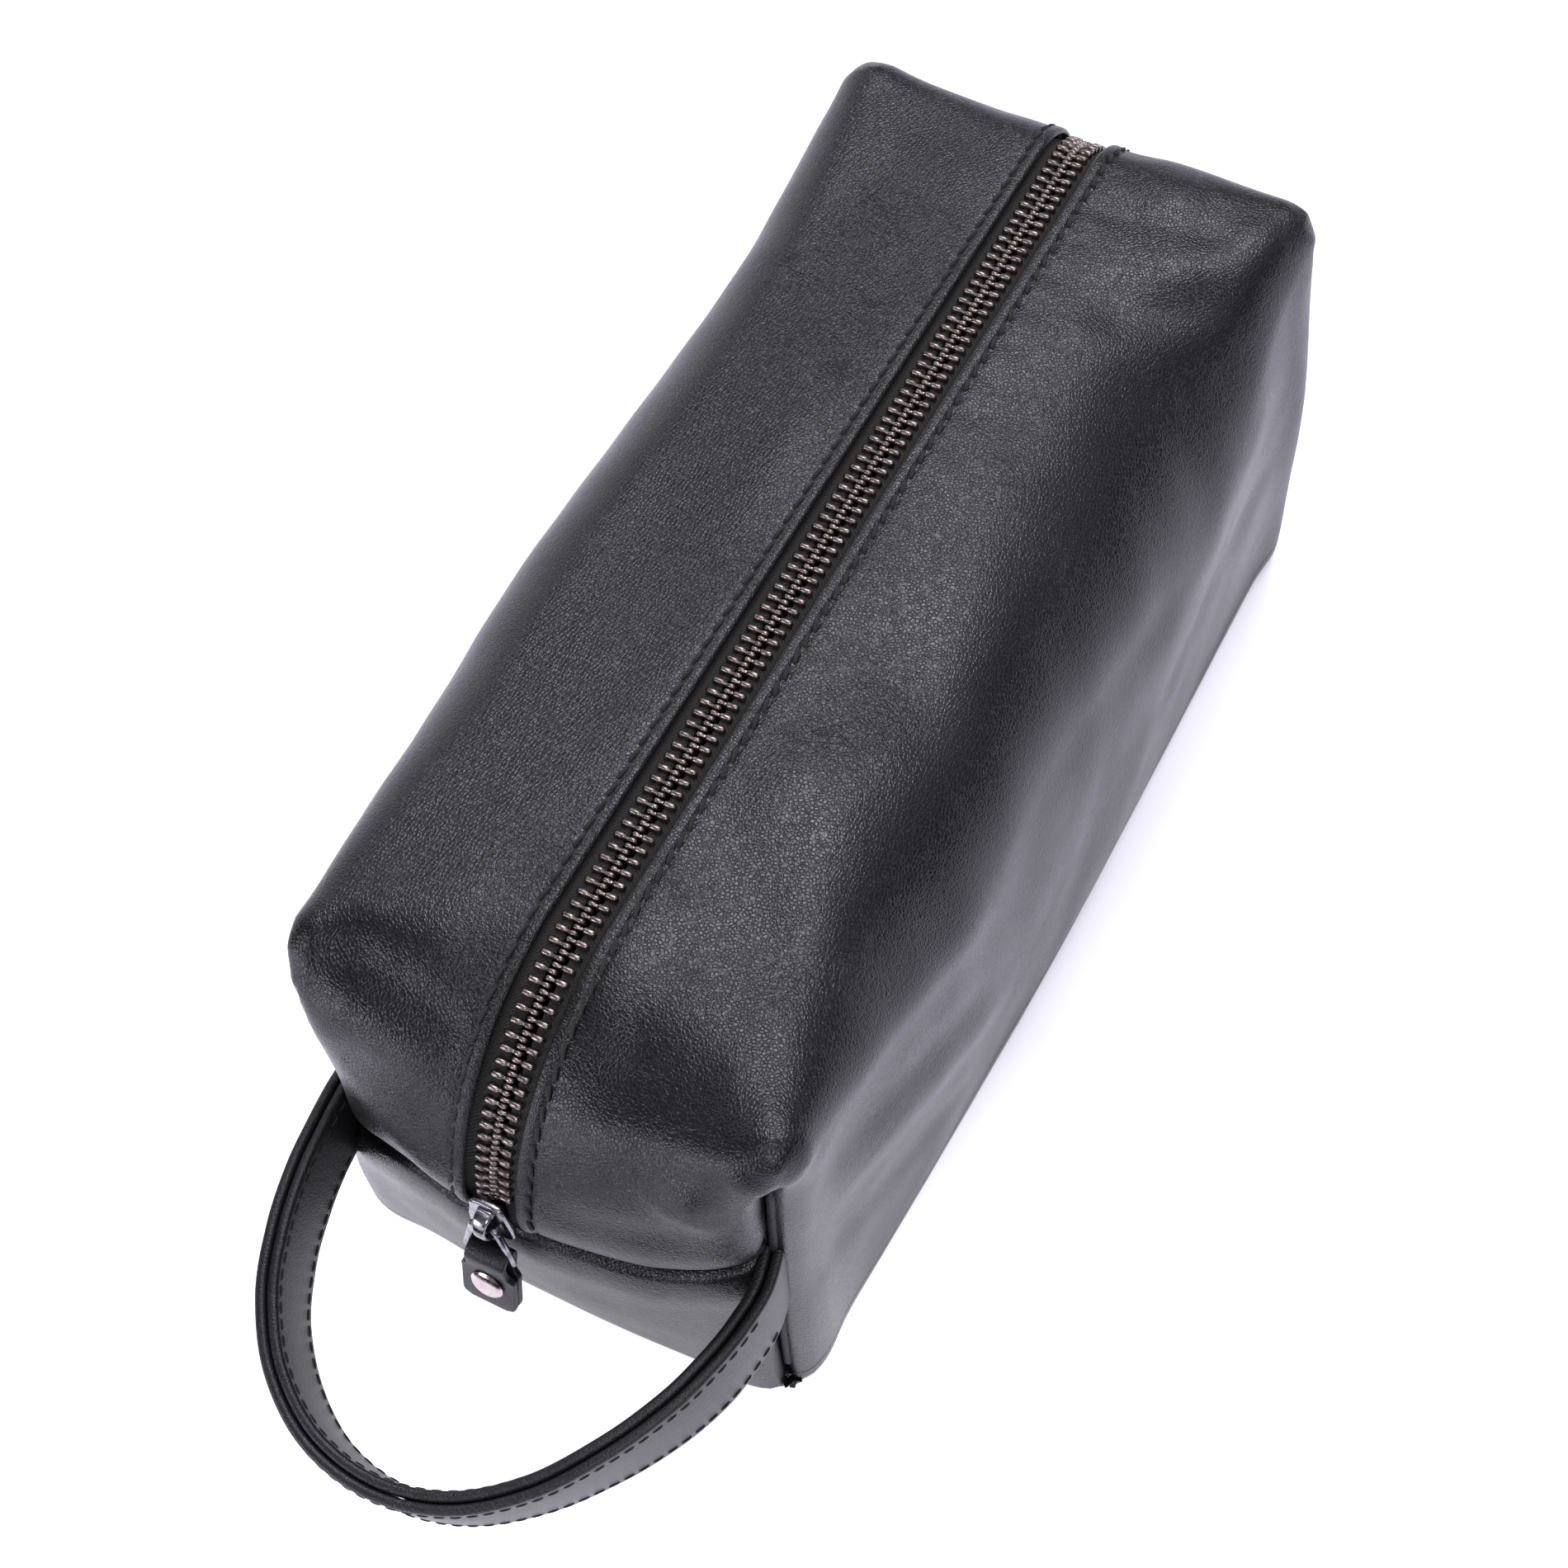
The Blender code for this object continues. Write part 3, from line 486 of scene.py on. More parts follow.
def thicken(points, quads, thickness):
    """A closed sheet: the given outer faces, the same faces further in, and a rim between."""
    inner = points - vertex_normals(points, quads) * thickness
    count = len(points)
    edges = np.concatenate([quads[:, [k, (k + 1) % 4]] for k in range(4)])
    code = edges[:, 0] * count + edges[:, 1]
    back = edges[:, 1] * count + edges[:, 0]
    rim = edges[~np.isin(code, back)]
    walls = np.stack([rim[:, 1], rim[:, 0], rim[:, 0] + count, rim[:, 1] + count], axis=1)
    faces = np.concatenate([quads, quads[:, ::-1] + count, walls])
    return np.concatenate([points, inner]), faces


END_FAR, END_NEAR, SIDE_LEFT, SIDE_RIGHT, UNDERSIDE, TOP = range(6)


class Lattice:
    """The bag's surface as the six faces of a box of grid lines."""

    def __init__(self, x_lines, y_lines, z_lines):
        lines = [np.array(l) for l in (x_lines, y_lines, z_lines)]
        shape = [len(l) for l in lines]
        quads, centres, faces = [], [], []
        for axis in range(3):
            u_axis, v_axis = (axis + 1) % 3, (axis + 2) % 3
            for high in (0, 1):
                u, v = np.meshgrid(np.arange(shape[u_axis] - 1), np.arange(shape[v_axis] - 1), indexing="ij")
                u, v = u.ravel(), v.ravel()
                corners, centre = [], np.zeros((len(u), 3))
                for du, dv in ((0, 0), (1, 0), (1, 1), (0, 1)):
                    key = np.zeros((len(u), 3), int)
                    key[:, axis] = (shape[axis] - 1) * high
                    key[:, u_axis] = u + du
                    key[:, v_axis] = v + dv
                    corners.append((key[:, 0] * shape[1] + key[:, 1]) * shape[2] + key[:, 2])
                    for k in range(3):
                        centre[:, k] += lines[k][key[:, k]] / 4.0
                quad = np.stack(corners, axis=1)
                quads.append(quad if high else quad[:, ::-1])
                centres.append(centre)
                faces.append(np.full(len(u), 2 * axis + high))
        codes, numbers = np.unique(np.concatenate(quads), return_inverse=True)
        self.quads = numbers.reshape(-1, 4)
        self.centres = np.concatenate(centres)
        self.faces = np.concatenate(faces)
        self.box = np.stack([lines[0][codes // (shape[1] * shape[2])],
                             lines[1][codes // shape[2] % shape[1]],
                             lines[2][codes % shape[2]]], axis=1)
        self.at = base_point(self.box)
        self.normal = vertex_normals(self.at, self.quads)

    def part(self, wanted):
        """Box points, their places and outward directions, and the faces of one region."""
        keep = wanted(self.faces, *self.centres.T)
        used, numbers = np.unique(self.quads[keep], return_inverse=True)
        return self.box[used], (self.at[used], self.normal[used]), numbers.reshape(-1, 4)


SEAM_STEPS = (0.3, 0.6, 1.0, 1.5, 2.2, 3.0, 4.2)


def spaced(low, high, step, fine_start=False, fine_end=False):
    """Grid lines between two values, closer together near the ends that are seams."""
    head = [low] + [low + f for f in SEAM_STEPS if fine_start]
    tail = [high - f for f in SEAM_STEPS[::-1] if fine_end] + [high]
    count = max(1, int(round((tail[0] - head[-1]) / step)))
    between = [head[-1] + (tail[0] - head[-1]) * k / count for k in range(1, count)]
    return head + between + tail


def mirrored(half_lines):
    return sorted({-value for value in half_lines} | set(half_lines))


def swing(obj):
    """Bake a piece's placement into its mesh."""
    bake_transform(obj)


def loft(rings, closed=False):
    """Join rings of points with quads and cap the ends, or close the loop."""
    count = len(rings[0])
    verts = [p for ring in rings for p in ring]
    pairs = list(zip(range(len(rings) - 1), range(1, len(rings))))
    if closed:
        pairs.append((len(rings) - 1, 0))
    faces = [(a * count + k, a * count + (k + 1) % count, b * count + (k + 1) % count, b * count + k)
             for a, b in pairs for k in range(count)]
    if not closed:
        faces.append(tuple(reversed(range(count))))
        faces.append(tuple(range(len(verts) - count, len(verts))))
    return verts, faces


def face_out(obj):
    """Turn a closed piece's faces outwards."""
    mesh = bmesh.new()
    mesh.from_mesh(obj.data)
    bmesh.ops.recalc_face_normals(mesh, faces=mesh.faces)
    mesh.to_mesh(obj.data)
    mesh.free()
    return obj


# ---------------------------------------------------------------- materials

def material(name, colour, roughness, metallic=0.0):
    made = bpy.data.materials.new(name)
    made.use_nodes = True
    shader = made.node_tree.nodes["Principled BSDF"]
    shader.inputs["Base Color"].default_value = (*colour, 1.0)
    shader.inputs["Roughness"].default_value = roughness
    shader.inputs["Metallic"].default_value = metallic
    return made, made.node_tree, shader


def node(tree, kind, **values):
    made = tree.nodes.new(kind)
    for key, value in values.items():
        if key in made.inputs:
            made.inputs[key].default_value = value
        else:
            setattr(made, key, value)
    return made


def ramp(tree, source, low, high, first, last):
    """Map a value between low and high onto first to last."""
    made = node(tree, "ShaderNodeMapRange")
    for key, value in (("From Min", low), ("From Max", high), ("To Min", first), ("To Max", last)):
        made.inputs[key].default_value = value
    tree.links.new(source, made.inputs["Value"])
    return made.outputs["Result"]


def math_node(tree, operation, a, b):
    made = node(tree, "ShaderNodeMath", operation=operation)
    for socket, value in zip(made.inputs, (a, b)):
        if isinstance(value, (int, float)):
            socket.default_value = value
        else:
            tree.links.new(value, socket)
    return made.outputs[0]


def mix_colour(tree, factor, first, second):
    made = node(tree, "ShaderNodeMix", data_type="RGBA")
    for key, value in ((6, first), (7, second)):
        if isinstance(value, tuple):
            made.inputs[key].default_value = (*value, 1.0)
        else:
            tree.links.new(value, made.inputs[key])
    tree.links.new(factor, made.inputs[0])
    return made.outputs[2]


def texture(tree, place, kind, **values):
    """A texture that reads the given place."""
    made = node(tree, "ShaderNodeTex" + kind, **values)
    tree.links.new(place, made.inputs["Vector"])
    return made


def bump_from(tree, shader, height, strength, distance):
    """Relief on a shader from a height."""
    relief = node(tree, "ShaderNodeBump", Strength=strength, Distance=distance)
    tree.links.new(height, relief.inputs["Height"])
    tree.links.new(relief.outputs["Normal"], shader.inputs["Normal"])


def leather(name, colour, tint, roughness, grain=1.0):
    """Smooth black leather: fine pebbled grain, shallow creases, uneven polish."""
    made, tree, shader = material(name, colour, roughness)
    place = node(tree, "ShaderNodeTexCoord").outputs["Object"]
    pebble = texture(tree, place, "Voronoi", feature="DISTANCE_TO_EDGE", Scale=1500.0)
    wobble = texture(tree, place, "Noise", Scale=900.0, Detail=2.0)
    cloud = texture(tree, place, "Noise", Scale=28.0, Detail=4.0, Roughness=0.55)
    patch = texture(tree, place, "Noise", Scale=11.0, Detail=2.0)
    bend = texture(tree, place, "Noise", Scale=160.0, Detail=2.0)
    warped = node(tree, "ShaderNodeVectorMath", operation="MULTIPLY_ADD")
    tree.links.new(bend.outputs["Color"], warped.inputs[0])
    warped.inputs[1].default_value = (0.006, 0.006, 0.006)
    tree.links.new(place, warped.inputs[2])
    crease = texture(tree, warped.outputs[0], "Voronoi", feature="DISTANCE_TO_EDGE", Scale=760.0)
    pits = ramp(tree, pebble.outputs["Distance"], 0.0, 0.25, 0.0, 1.0)
    lines = ramp(tree, crease.outputs["Distance"], 0.0, 0.16, 0.0, 1.0)
    where = ramp(tree, cloud.outputs["Fac"], 0.46, 0.66, 0.10, 1.0)
    lines = math_node(tree, "MULTIPLY", math_node(tree, "SUBTRACT", lines, 1.0), where)
    height = math_node(tree, "ADD", math_node(tree, "MULTIPLY", pits, 0.5),
                       math_node(tree, "MULTIPLY", lines, 0.85))
    height = math_node(tree, "ADD", height, math_node(tree, "MULTIPLY", wobble.outputs["Fac"], 0.7))
    bump_from(tree, shader, height, 0.6 * grain, 0.00015)
    dull = ramp(tree, cloud.outputs["Fac"], 0.3, 0.7, roughness - 0.05, roughness + 0.06)
    polish = math_node(tree, "ADD", dull, ramp(tree, pebble.outputs["Distance"], 0.0, 0.3, 0.05, 0.0))
    tree.links.new(polish, shader.inputs["Roughness"])
    shade = ramp(tree, patch.outputs["Fac"], 0.35, 0.65, 0.0, 1.0)
    tree.links.new(mix_colour(tree, shade, colour, tint), shader.inputs["Base Color"])
    shader.inputs["Specular Tint"].default_value = (0.93, 0.91, 1.0, 1.0)
    shader.inputs["Specular IOR Level"].default_value = 0.38
    return made


def cloth(name, colour, light, scale, depth, slant=1.0):
    """Woven threads from the piece's own UV map, in millimetres, with painted shade in the weave's hollows
    and painted highlight on its raised threads.
    """
    made, tree, shader = material(name, colour, 0.85)
    place = node(tree, "ShaderNodeUVMap").outputs["UV"]
    split = node(tree, "ShaderNodeSeparateXYZ")
    tree.links.new(place, split.inputs[0])
    u = math_node(tree, "MULTIPLY", split.outputs["X"], scale)
    v = math_node(tree, "MULTIPLY", split.outputs["Y"], scale)
    diagonal = math_node(tree, "ADD", u, math_node(tree, "MULTIPLY", v, slant))
    twill = math_node(tree, "SINE", math_node(tree, "MULTIPLY", diagonal, 2.0 * math.pi), 0.0)
    ribs = math_node(tree, "SINE", math_node(tree, "MULTIPLY", u, 4.0 * math.pi), 0.0)
    height = math_node(tree, "ADD", twill, math_node(tree, "MULTIPLY", ribs, 0.5))
    bump_from(tree, shader, height, 0.9, depth)
    fuzz = texture(tree, place, "Noise", Scale=3.0, Detail=3.0)
    # painted shade and highlight: the colour follows the weave's relief, darker in its hollows and lighter on
    # its raised threads, and also varies at random with the fuzz
    shade = math_node(tree, "MULTIPLY", ramp(tree, height, -1.5, 1.5, 0.0, 1.0),
                      ramp(tree, fuzz.outputs["Fac"], 0.3, 0.7, 0.6, 1.2))
    tree.links.new(mix_colour(tree, shade, colour, light), shader.inputs["Base Color"])
    shader.inputs["Sheen Weight"].default_value = 0.06
    return made


def metal(name, colour, dark, roughness, wear):
    """Plated metal, darker and lighter in random patches, with uneven roughness and a fine relief."""
    made, tree, shader = material(name, colour, roughness, 1.0)
    place = node(tree, "ShaderNodeTexCoord").outputs["Object"]
    cloud = texture(tree, place, "Noise", Scale=wear, Detail=4.0, Roughness=0.6)
    fine = texture(tree, place, "Noise", Scale=wear * 6.0, Detail=3.0)
    shade = ramp(tree, cloud.outputs["Fac"], 0.35, 0.65, 0.0, 1.0)
    tree.links.new(mix_colour(tree, shade, dark, colour), shader.inputs["Base Color"])
    tree.links.new(ramp(tree, fine.outputs["Fac"], 0.3, 0.7, roughness * 0.7, roughness * 1.5),
                   shader.inputs["Roughness"])
    bump_from(tree, shader, fine.outputs["Fac"], 0.25, 0.00004)
    return made


BODY = leather("body_leather", (0.0030, 0.0030, 0.0036), (0.0050, 0.0046, 0.0056), 0.28)
STRAP = leather("strap_leather", (0.0040, 0.0038, 0.0046), (0.0062, 0.0058, 0.0070), 0.38, 0.7)
WELT = leather("seam_welt", (0.004, 0.0039, 0.0045), (0.006, 0.0056, 0.0062), 0.60, 1.2)
THREAD = cloth("black_thread", (0.004, 0.004, 0.0045), (0.012, 0.011, 0.012), 2.0, 0.00005)
TAPE = cloth("zip_tape_cloth", (0.0045, 0.0034, 0.0032), (0.015, 0.0112, 0.0108), 1.15, 0.00012)
LINING = cloth("lining_cloth", (0.020, 0.019, 0.022), (0.055, 0.053, 0.060), 1.6, 0.00008, 0.0)
BINDING = cloth("binding_cloth", (0.010, 0.010, 0.011), (0.028, 0.027, 0.029), 1.3, 0.00010)
TEETH = metal("tooth_metal", (0.29, 0.245, 0.235), (0.10, 0.080, 0.076), 0.30, 900.0)
SLIDER = metal("slider_metal", (0.34, 0.33, 0.36), (0.13, 0.125, 0.14), 0.18, 500.0)
RIVET = metal("rivet_metal", (0.62, 0.53, 0.53), (0.46, 0.39, 0.40), 0.20, 300.0)


# ---------------------------------------------------------------- leather body, lining and bindings

SEAM_LINES = (SEAM_Z - SEAM_HALF, SEAM_Z + SEAM_HALF)
X_LINES = mirrored(spaced(0.0, HALF_LENGTH, 1.6, fine_end=True))
Y_LINES = mirrored([SLOT, 5.1, 5.3, 5.6, 5.9, 6.3, 6.8, 7.2, 7.45, 7.7, 7.95, 8.2, 8.7]
                   + spaced(9.4, HALF_WIDTH, 1.6, fine_end=True))
Z_LINES = ([0.0, 0.8, 1.6, 2.4, 3.2, 4.0, 5.0, FOLD_Z - 0.15]
           + spaced(FOLD_Z + 0.15, SEAM_LINES[0], 1.7, fine_end=True)
           + spaced(SEAM_LINES[1], HEIGHT, 1.6, fine_start=True, fine_end=True))
LINING_X_LINES = mirrored(spaced(0.0, HALF_LENGTH, 4.0))
LINING_Y_LINES = mirrored([LINING_SLOT] + spaced(12.0, HALF_WIDTH, 4.0))
LINING_Z_LINES = [0.0, 2.0, 4.0, FOLD_Z] + spaced(9.0, LINING_TOP, 5.0) + spaced(LINING_FOOT, HEIGHT, 4.0)
HALVES = (("left", -1.0, SIDE_LEFT), ("right", 1.0, SIDE_RIGHT))


def relax(points, quads, loose):
    """Even out the points, each towards the middle of its neighbours as far as it is loose."""
    edges = np.concatenate([quads[:, pair] for pair in ((0, 1), (1, 2), (2, 3), (3, 0))])
    edges = edges[(loose[edges] > 0.0).any(axis=1)]
    both = np.concatenate([edges, edges[:, ::-1]])
    for _ in range(EAR_ROUNDS):
        total, count = np.zeros_like(points), np.zeros(len(points))
        np.add.at(total, both[:, 0], points[both[:, 1]])
        np.add.at(count, both[:, 0], 1.0)
        step = total - points * count[:, None]
        points = points + step * (loose / np.maximum(count, 1.0))[:, None]
    return points


def sheet(name, lattice, region, depth, thickness, paint, edges=True):
    """A closed sheet of leather or cloth over a region of the lattice; gives the object and its points."""
    box, plain, quads = lattice.part(region)
    points, _ = skin_point(box, depth, edges, plain)
    ear = np.linalg.norm(np.array([HALF_LENGTH, HALF_WIDTH, HEIGHT]) - np.abs(box), axis=1)
    points = relax(points, quads, 1.0 - smooth((ear - EAR_REACH[0]) / EAR_REACH[1]))
    verts, faces = thicken(points, quads, thickness)
    flat = np.stack([box[:, 0], box[:, 1] + box[:, 2]], axis=1)
    return new_mesh(name, verts, faces, paint, uv=np.concatenate([flat, flat])), verts


def on_ends(face):
    return (face == END_FAR) | (face == END_NEAR)


def lower(top):
    """The region of the underside and the ends up to a height."""
    def region(face, x, y, z):
        sides = ((face == SIDE_LEFT) | (face == SIDE_RIGHT)) & (z < FOLD_Z)
        return (on_ends(face) & (z < top)) | sides | (face == UNDERSIDE)

    return region


def upper(wall, sign, foot, slot):
    """The region of one half's wall, top and ends above a height, beside the slot of the zip."""
    def region(face, x, y, z):
        over = ((on_ends(face) & (z > foot)) | (face == TOP)) & (y * sign > slot)
        return over | ((face == wall) & (z > FOLD_Z))

    return region


def make_leather():
    lattice = Lattice(X_LINES, Y_LINES, Z_LINES)
    skin, _ = sheet("bottom_leather", lattice, lower(SEAM_LINES[0]), 0.0, THICKNESS, BODY)
    fit(skin, ("bottom_panel",), "bag_base")
    for side, sign, wall in HALVES:
        panel = upper(wall, sign, SEAM_LINES[1], SLOT)
        skin, verts = sheet(side + "_leather", lattice, panel, 0.0, THICKNESS, BODY)
        swing(skin)
        fit(skin, (side + "_panel",))


def make_lining():
    lattice = Lattice(LINING_X_LINES, LINING_Y_LINES, LINING_Z_LINES)

    def line(name, region):
        return sheet(name, lattice, region, LINING_DEPTH, CLOTH, LINING, False)

    lining, _ = line("bottom_cloth", lower(LINING_TOP))
    fit(lining, ("bottom_lining", "near_end_lining", "far_end_lining"), "bag_base")
    for side, sign, wall in HALVES:
        lining, verts = line(side + "_cloth", upper(wall, sign, LINING_FOOT, LINING_SLOT))
        swing(lining)
        fit(lining, (side + "_lining",))


def make_bindings():
    """Tapes on the inside of the level seams and the upright seams."""
    lattice = Lattice(LINING_X_LINES, LINING_Y_LINES, LINING_Z_LINES)

    def bind(name, region, node_name):
        strip, _ = sheet(name, lattice, region, BINDING_DEPTH, CLOTH, BINDING, False)
        fit(strip, (node_name,), "bag_base")

    for end, wanted in (("near", END_NEAR), ("far", END_FAR)):
        bind(end + "_seam_tape", lambda face, x, y, z: (face == wanted) & (z > BINDING_FOOT)
             & (z < LINING_FOOT) & (np.abs(y) < BINDING_HALF), end + "_seam_binding")
        for side, sign, _ in HALVES:
            bind("corner_tape_" + end + "_" + side, lambda face, x, y, z: (face == wanted) & (z > FOLD_Z)
                 & (z < LINING_FOOT) & (y * sign > BINDING_HALF), "corner_binding_" + end + "_" + side)


def tube(name, points, radius, paint):
    """A round cord through points, with rounded ends."""
    along = unit(np.gradient(points, axis=0))
    rings = []
    last = len(points) - 1
    side = np.cross(along[0], [0.0, 0.0, 1.0] if abs(along[0][2]) < 0.9 else [1.0, 0.0, 0.0])
    for k, (point, way) in enumerate(zip(points, along)):
        side = unit(side - way * (side @ way))
        other = np.cross(way, side)
        size = radius * (0.35 if k in (0, last) else 1.0)
        rings.append([point + size * (math.cos(a) * side + math.sin(a) * other) for a in turn(10)])
    verts, faces = loft(rings)
    return face_out(new_mesh(name, verts, faces, paint, uv=tube_uv(rings)))


def tube_uv(rings):
    steps = np.cumsum([0.0] + [np.linalg.norm(np.mean(b, axis=0) - np.mean(a, axis=0))
                               for a, b in zip(rings, rings[1:])])
    return np.array([(along, 0.5 * k) for along, ring in zip(steps, rings) for k in range(len(ring))])


def box_line(x, y, z):
    """Box points along a line, from values or rows of values."""
    return np.stack(np.broadcast_arrays(x, y, z), axis=1).astype(float)


def make_welts():
    """Black cords of turned leather that fill the level seams and the four upright seams."""
    reach = np.linspace(-HALF_WIDTH + 1.2, HALF_WIDTH - 1.2, 60)
    up = np.linspace(*CORNER_WELT_ENDS, 40)
    for end, sign in (("near", 1.0), ("far", -1.0)):
        points, _ = skin_point(box_line(sign * HALF_LENGTH, reach, SEAM_Z), WELT_DEPTH, False)
        fit(tube(end + "_seam_welt", points, WELT_RADIUS, WELT), body="bag_base")
        for side, y_sign, _ in HALVES:
            points = base_point(box_line(sign * HALF_LENGTH, y_sign * HALF_WIDTH, up))
            points += np.array([-sign, -y_sign, 0.0]) / math.sqrt(2.0) * CORNER_WELT_DEPTH
            welt = tube("corner_welt_" + end + "_" + side, points, CORNER_WELT_RADIUS, WELT)
            fit(welt, body="bag_base")


# ---------------------------------------------------------------- zip

FAR_X = -(HALF_LENGTH + FAR_BULGE - FAR_RADIUS)      # where the far end's round begins
TOP_Z = HEIGHT + CROWN


def straight(start, way, distance):
    """Place, direction and outward direction on a straight stretch of the zip."""
    x, z = way
    return np.array(start) + np.array([x, 0.0, z]) * distance, np.array([x, 0.0, z]), np.array([z, 0.0, -x])


def bent(centre, radius, angle):
    """The same on a round stretch."""
    out = np.array([math.cos(angle), 0.0, math.sin(angle)])
    return np.array(centre) + radius * out, np.array([-out[2], 0.0, out[0]]), out


def zip_walk(distance):
    """The middle line of the zip, by distance from the near seam: up, over the top and down the far end."""
    upright = ARC_Z - SEAM_Z
    near_turn = NEAR_RADIUS * math.pi / 2.0
    flat = ARC_X - FAR_X
    far_turn = FAR_RADIUS * math.pi / 2.0
    if distance < upright:
        return straight((ARC_X + NEAR_RADIUS, 0.0, SEAM_Z), (0.0, 1.0), distance)
    distance -= upright
    if distance < near_turn:
        return bent((ARC_X, 0.0, ARC_Z), NEAR_RADIUS, distance / NEAR_RADIUS)
    distance -= near_turn
    if distance < flat:
        return straight((ARC_X, 0.0, TOP_Z), (-1.0, 0.0), distance)
    distance -= flat
    if distance < far_turn:
        return bent((FAR_X, 0.0, TOP_Z - FAR_RADIUS), FAR_RADIUS, math.pi / 2.0 + distance / FAR_RADIUS)
    return straight((FAR_X - FAR_RADIUS, 0.0, TOP_Z - FAR_RADIUS), (0.0, -1.0), distance - far_turn)


def zip_length():
    turns = (NEAR_RADIUS + FAR_RADIUS) * math.pi / 2.0
    return ARC_Z - SEAM_Z + turns + ARC_X - FAR_X + TOP_Z - FAR_RADIUS - SEAM_Z


def make_tapes():
    """Twill tape with a corded inner edge that the teeth grip."""
    outline = ((12.0, 0.0), (7.0, 0.05), (4.9, 0.0), (3.4, 0.15), (2.6, 0.35), (2.0, 0.55),
               (1.5, 0.3), (1.35, -0.25), (1.5, -0.8), (2.0, -1.05), (2.6, -0.85), (3.4, -0.65),
               (7.0, -0.5), (12.0, -0.5))
    stations = np.linspace(1.0, zip_length() - 1.0, 150)
    for side, sign, _ in HALVES:
        rings, along, flat = [], [], []
        for distance in stations:
            place, way, out = zip_walk(distance)
            rings.append([place + out * (rise - TAPE_DEPTH) + np.array([0.0, sign * across, 0.0])
                          for across, rise in outline])
            flat += [(distance, across + (0.4 if rise < 0 else 0.0)) for across, rise in outline]
            along += [place[0]] * len(outline)
        verts, faces = loft(rings)
        tape = face_out(new_mesh("tape_" + side, verts, faces, TAPE, uv=flat))
        swing(tape)
        fit(tape, ("zip_tape_" + side,))


TOOTH_SECTIONS = (        # across, half its length along the zip, half its height
    (3.55, 0.30, 0.66), (3.42, 0.50, 1.02), (3.00, 0.60, 1.24), (1.75, 0.60, 1.24), (1.38, 0.52, 1.08),
    (1.02, 0.35, 0.74), (0.64, 0.38, 0.80), (0.25, 0.52, 1.04), (-0.32, 0.52, 1.04), (-0.66, 0.38, 0.76),
    (-0.88, 0.18, 0.42),
)


def make_teeth():
    """Cast teeth of the two rows, half a pitch apart so that their heads mesh."""
    corners = [squarish(a, 0.6, 0.6) for a in turn(10)]
    for side, sign, _ in HALVES:
        verts, faces, along = [], [], []
        first = CHAIN_START + (0.0 if sign < 0.0 else TOOTH_PITCH / 2.0)
        count = int((zip_length() - CHAIN_TAIL - first) / TOOTH_PITCH)
        for number in range(count):
            place, way, out = zip_walk(first + number * TOOTH_PITCH)
            rings = []
            for across, half, tall in TOOTH_SECTIONS:
                middle = place - out * CHAIN_DEPTH + np.array([0.0, sign * across, 0.0])
                rings.append([middle + way * half * u + out * tall * v for u, v in corners])
            tooth_verts, tooth_faces = loft(rings)
            base = len(verts)
            verts += tooth_verts
            faces += [tuple(base + k for k in face) for face in tooth_faces]
            along += [place[0]] * len(tooth_verts)
        row = face_out(new_mesh("teeth_" + side, verts, faces, TEETH))
        swing(row)
        fit(row, ("zip_teeth_" + side,))


def stitch_row(name, points, normals, pitch, size, slant=0.0):
    """Separate stitches along a line that lies on a surface."""
    length, radius, sink = size
    steps = np.concatenate([[0.0], np.cumsum(np.linalg.norm(np.diff(points, axis=0), axis=1))])

    def at(rows, distance):
        return np.array([np.interp(distance, steps, rows[:, k]) for k in range(3)])

    verts, faces, along, flat = [], [], [], []
    for number in range(int(steps[-1] / pitch)):
        middle = (number + 0.5) * pitch
        base = len(verts)
        rings = []
        for t in (-0.5, -0.46, -0.34, -0.15, 0.15, 0.34, 0.46, 0.5):
            distance = middle + t * length
            out = unit(at(normals, distance))
            way = unit(at(points, distance + 0.2) - at(points, distance - 0.2))
            across = np.cross(out, way)
            thick = radius * (0.4 if abs(t) > 0.48 else 0.8 if abs(t) > 0.44 else 1.0)
            rise = 0.6 * radius - sink * (2.0 * abs(t)) ** 4
            place = at(points, distance) + out * rise + across * slant * t * length
            rings.append([place + thick * (math.cos(a) * across + math.sin(a) * out)
                          for a in turn(STITCH_RIM)])
        stitch_verts, stitch_faces = loft(rings)
        verts += stitch_verts
        faces += [tuple(base + k for k in face) for face in stitch_faces]
        along += [at(points, middle)[0]] * len(stitch_verts)
        flat += [(0.9 * (k // STITCH_RIM), 0.3 * (k % STITCH_RIM)) for k in range(len(stitch_verts))]
    return face_out(new_mesh(name, verts, faces, THREAD, uv=flat)), along


def make_zip_stitches():
    up = np.linspace(SEAM_Z + 3.0, HEIGHT, 40)
    across = np.linspace(-HALF_LENGTH, HALF_LENGTH, 200)[1:-1]
    x = np.concatenate([np.full(len(up), -HALF_LENGTH), across, np.full(len(up), HALF_LENGTH)])
    z = np.concatenate([up, np.full(len(across), HEIGHT), up[::-1]])
    for side, sign, _ in HALVES:
        points, normals = skin_point(box_line(x, sign * ZIP_STITCH, z), 0.0, False)
        row, along = stitch_row("zip_stitches_" + side, points, normals, STITCH_PITCH, STITCH_SIZE,
                                STITCH_SLANT * sign)
        swing(row)
        fit(row)


# ---------------------------------------------------------------- slider, link and tab

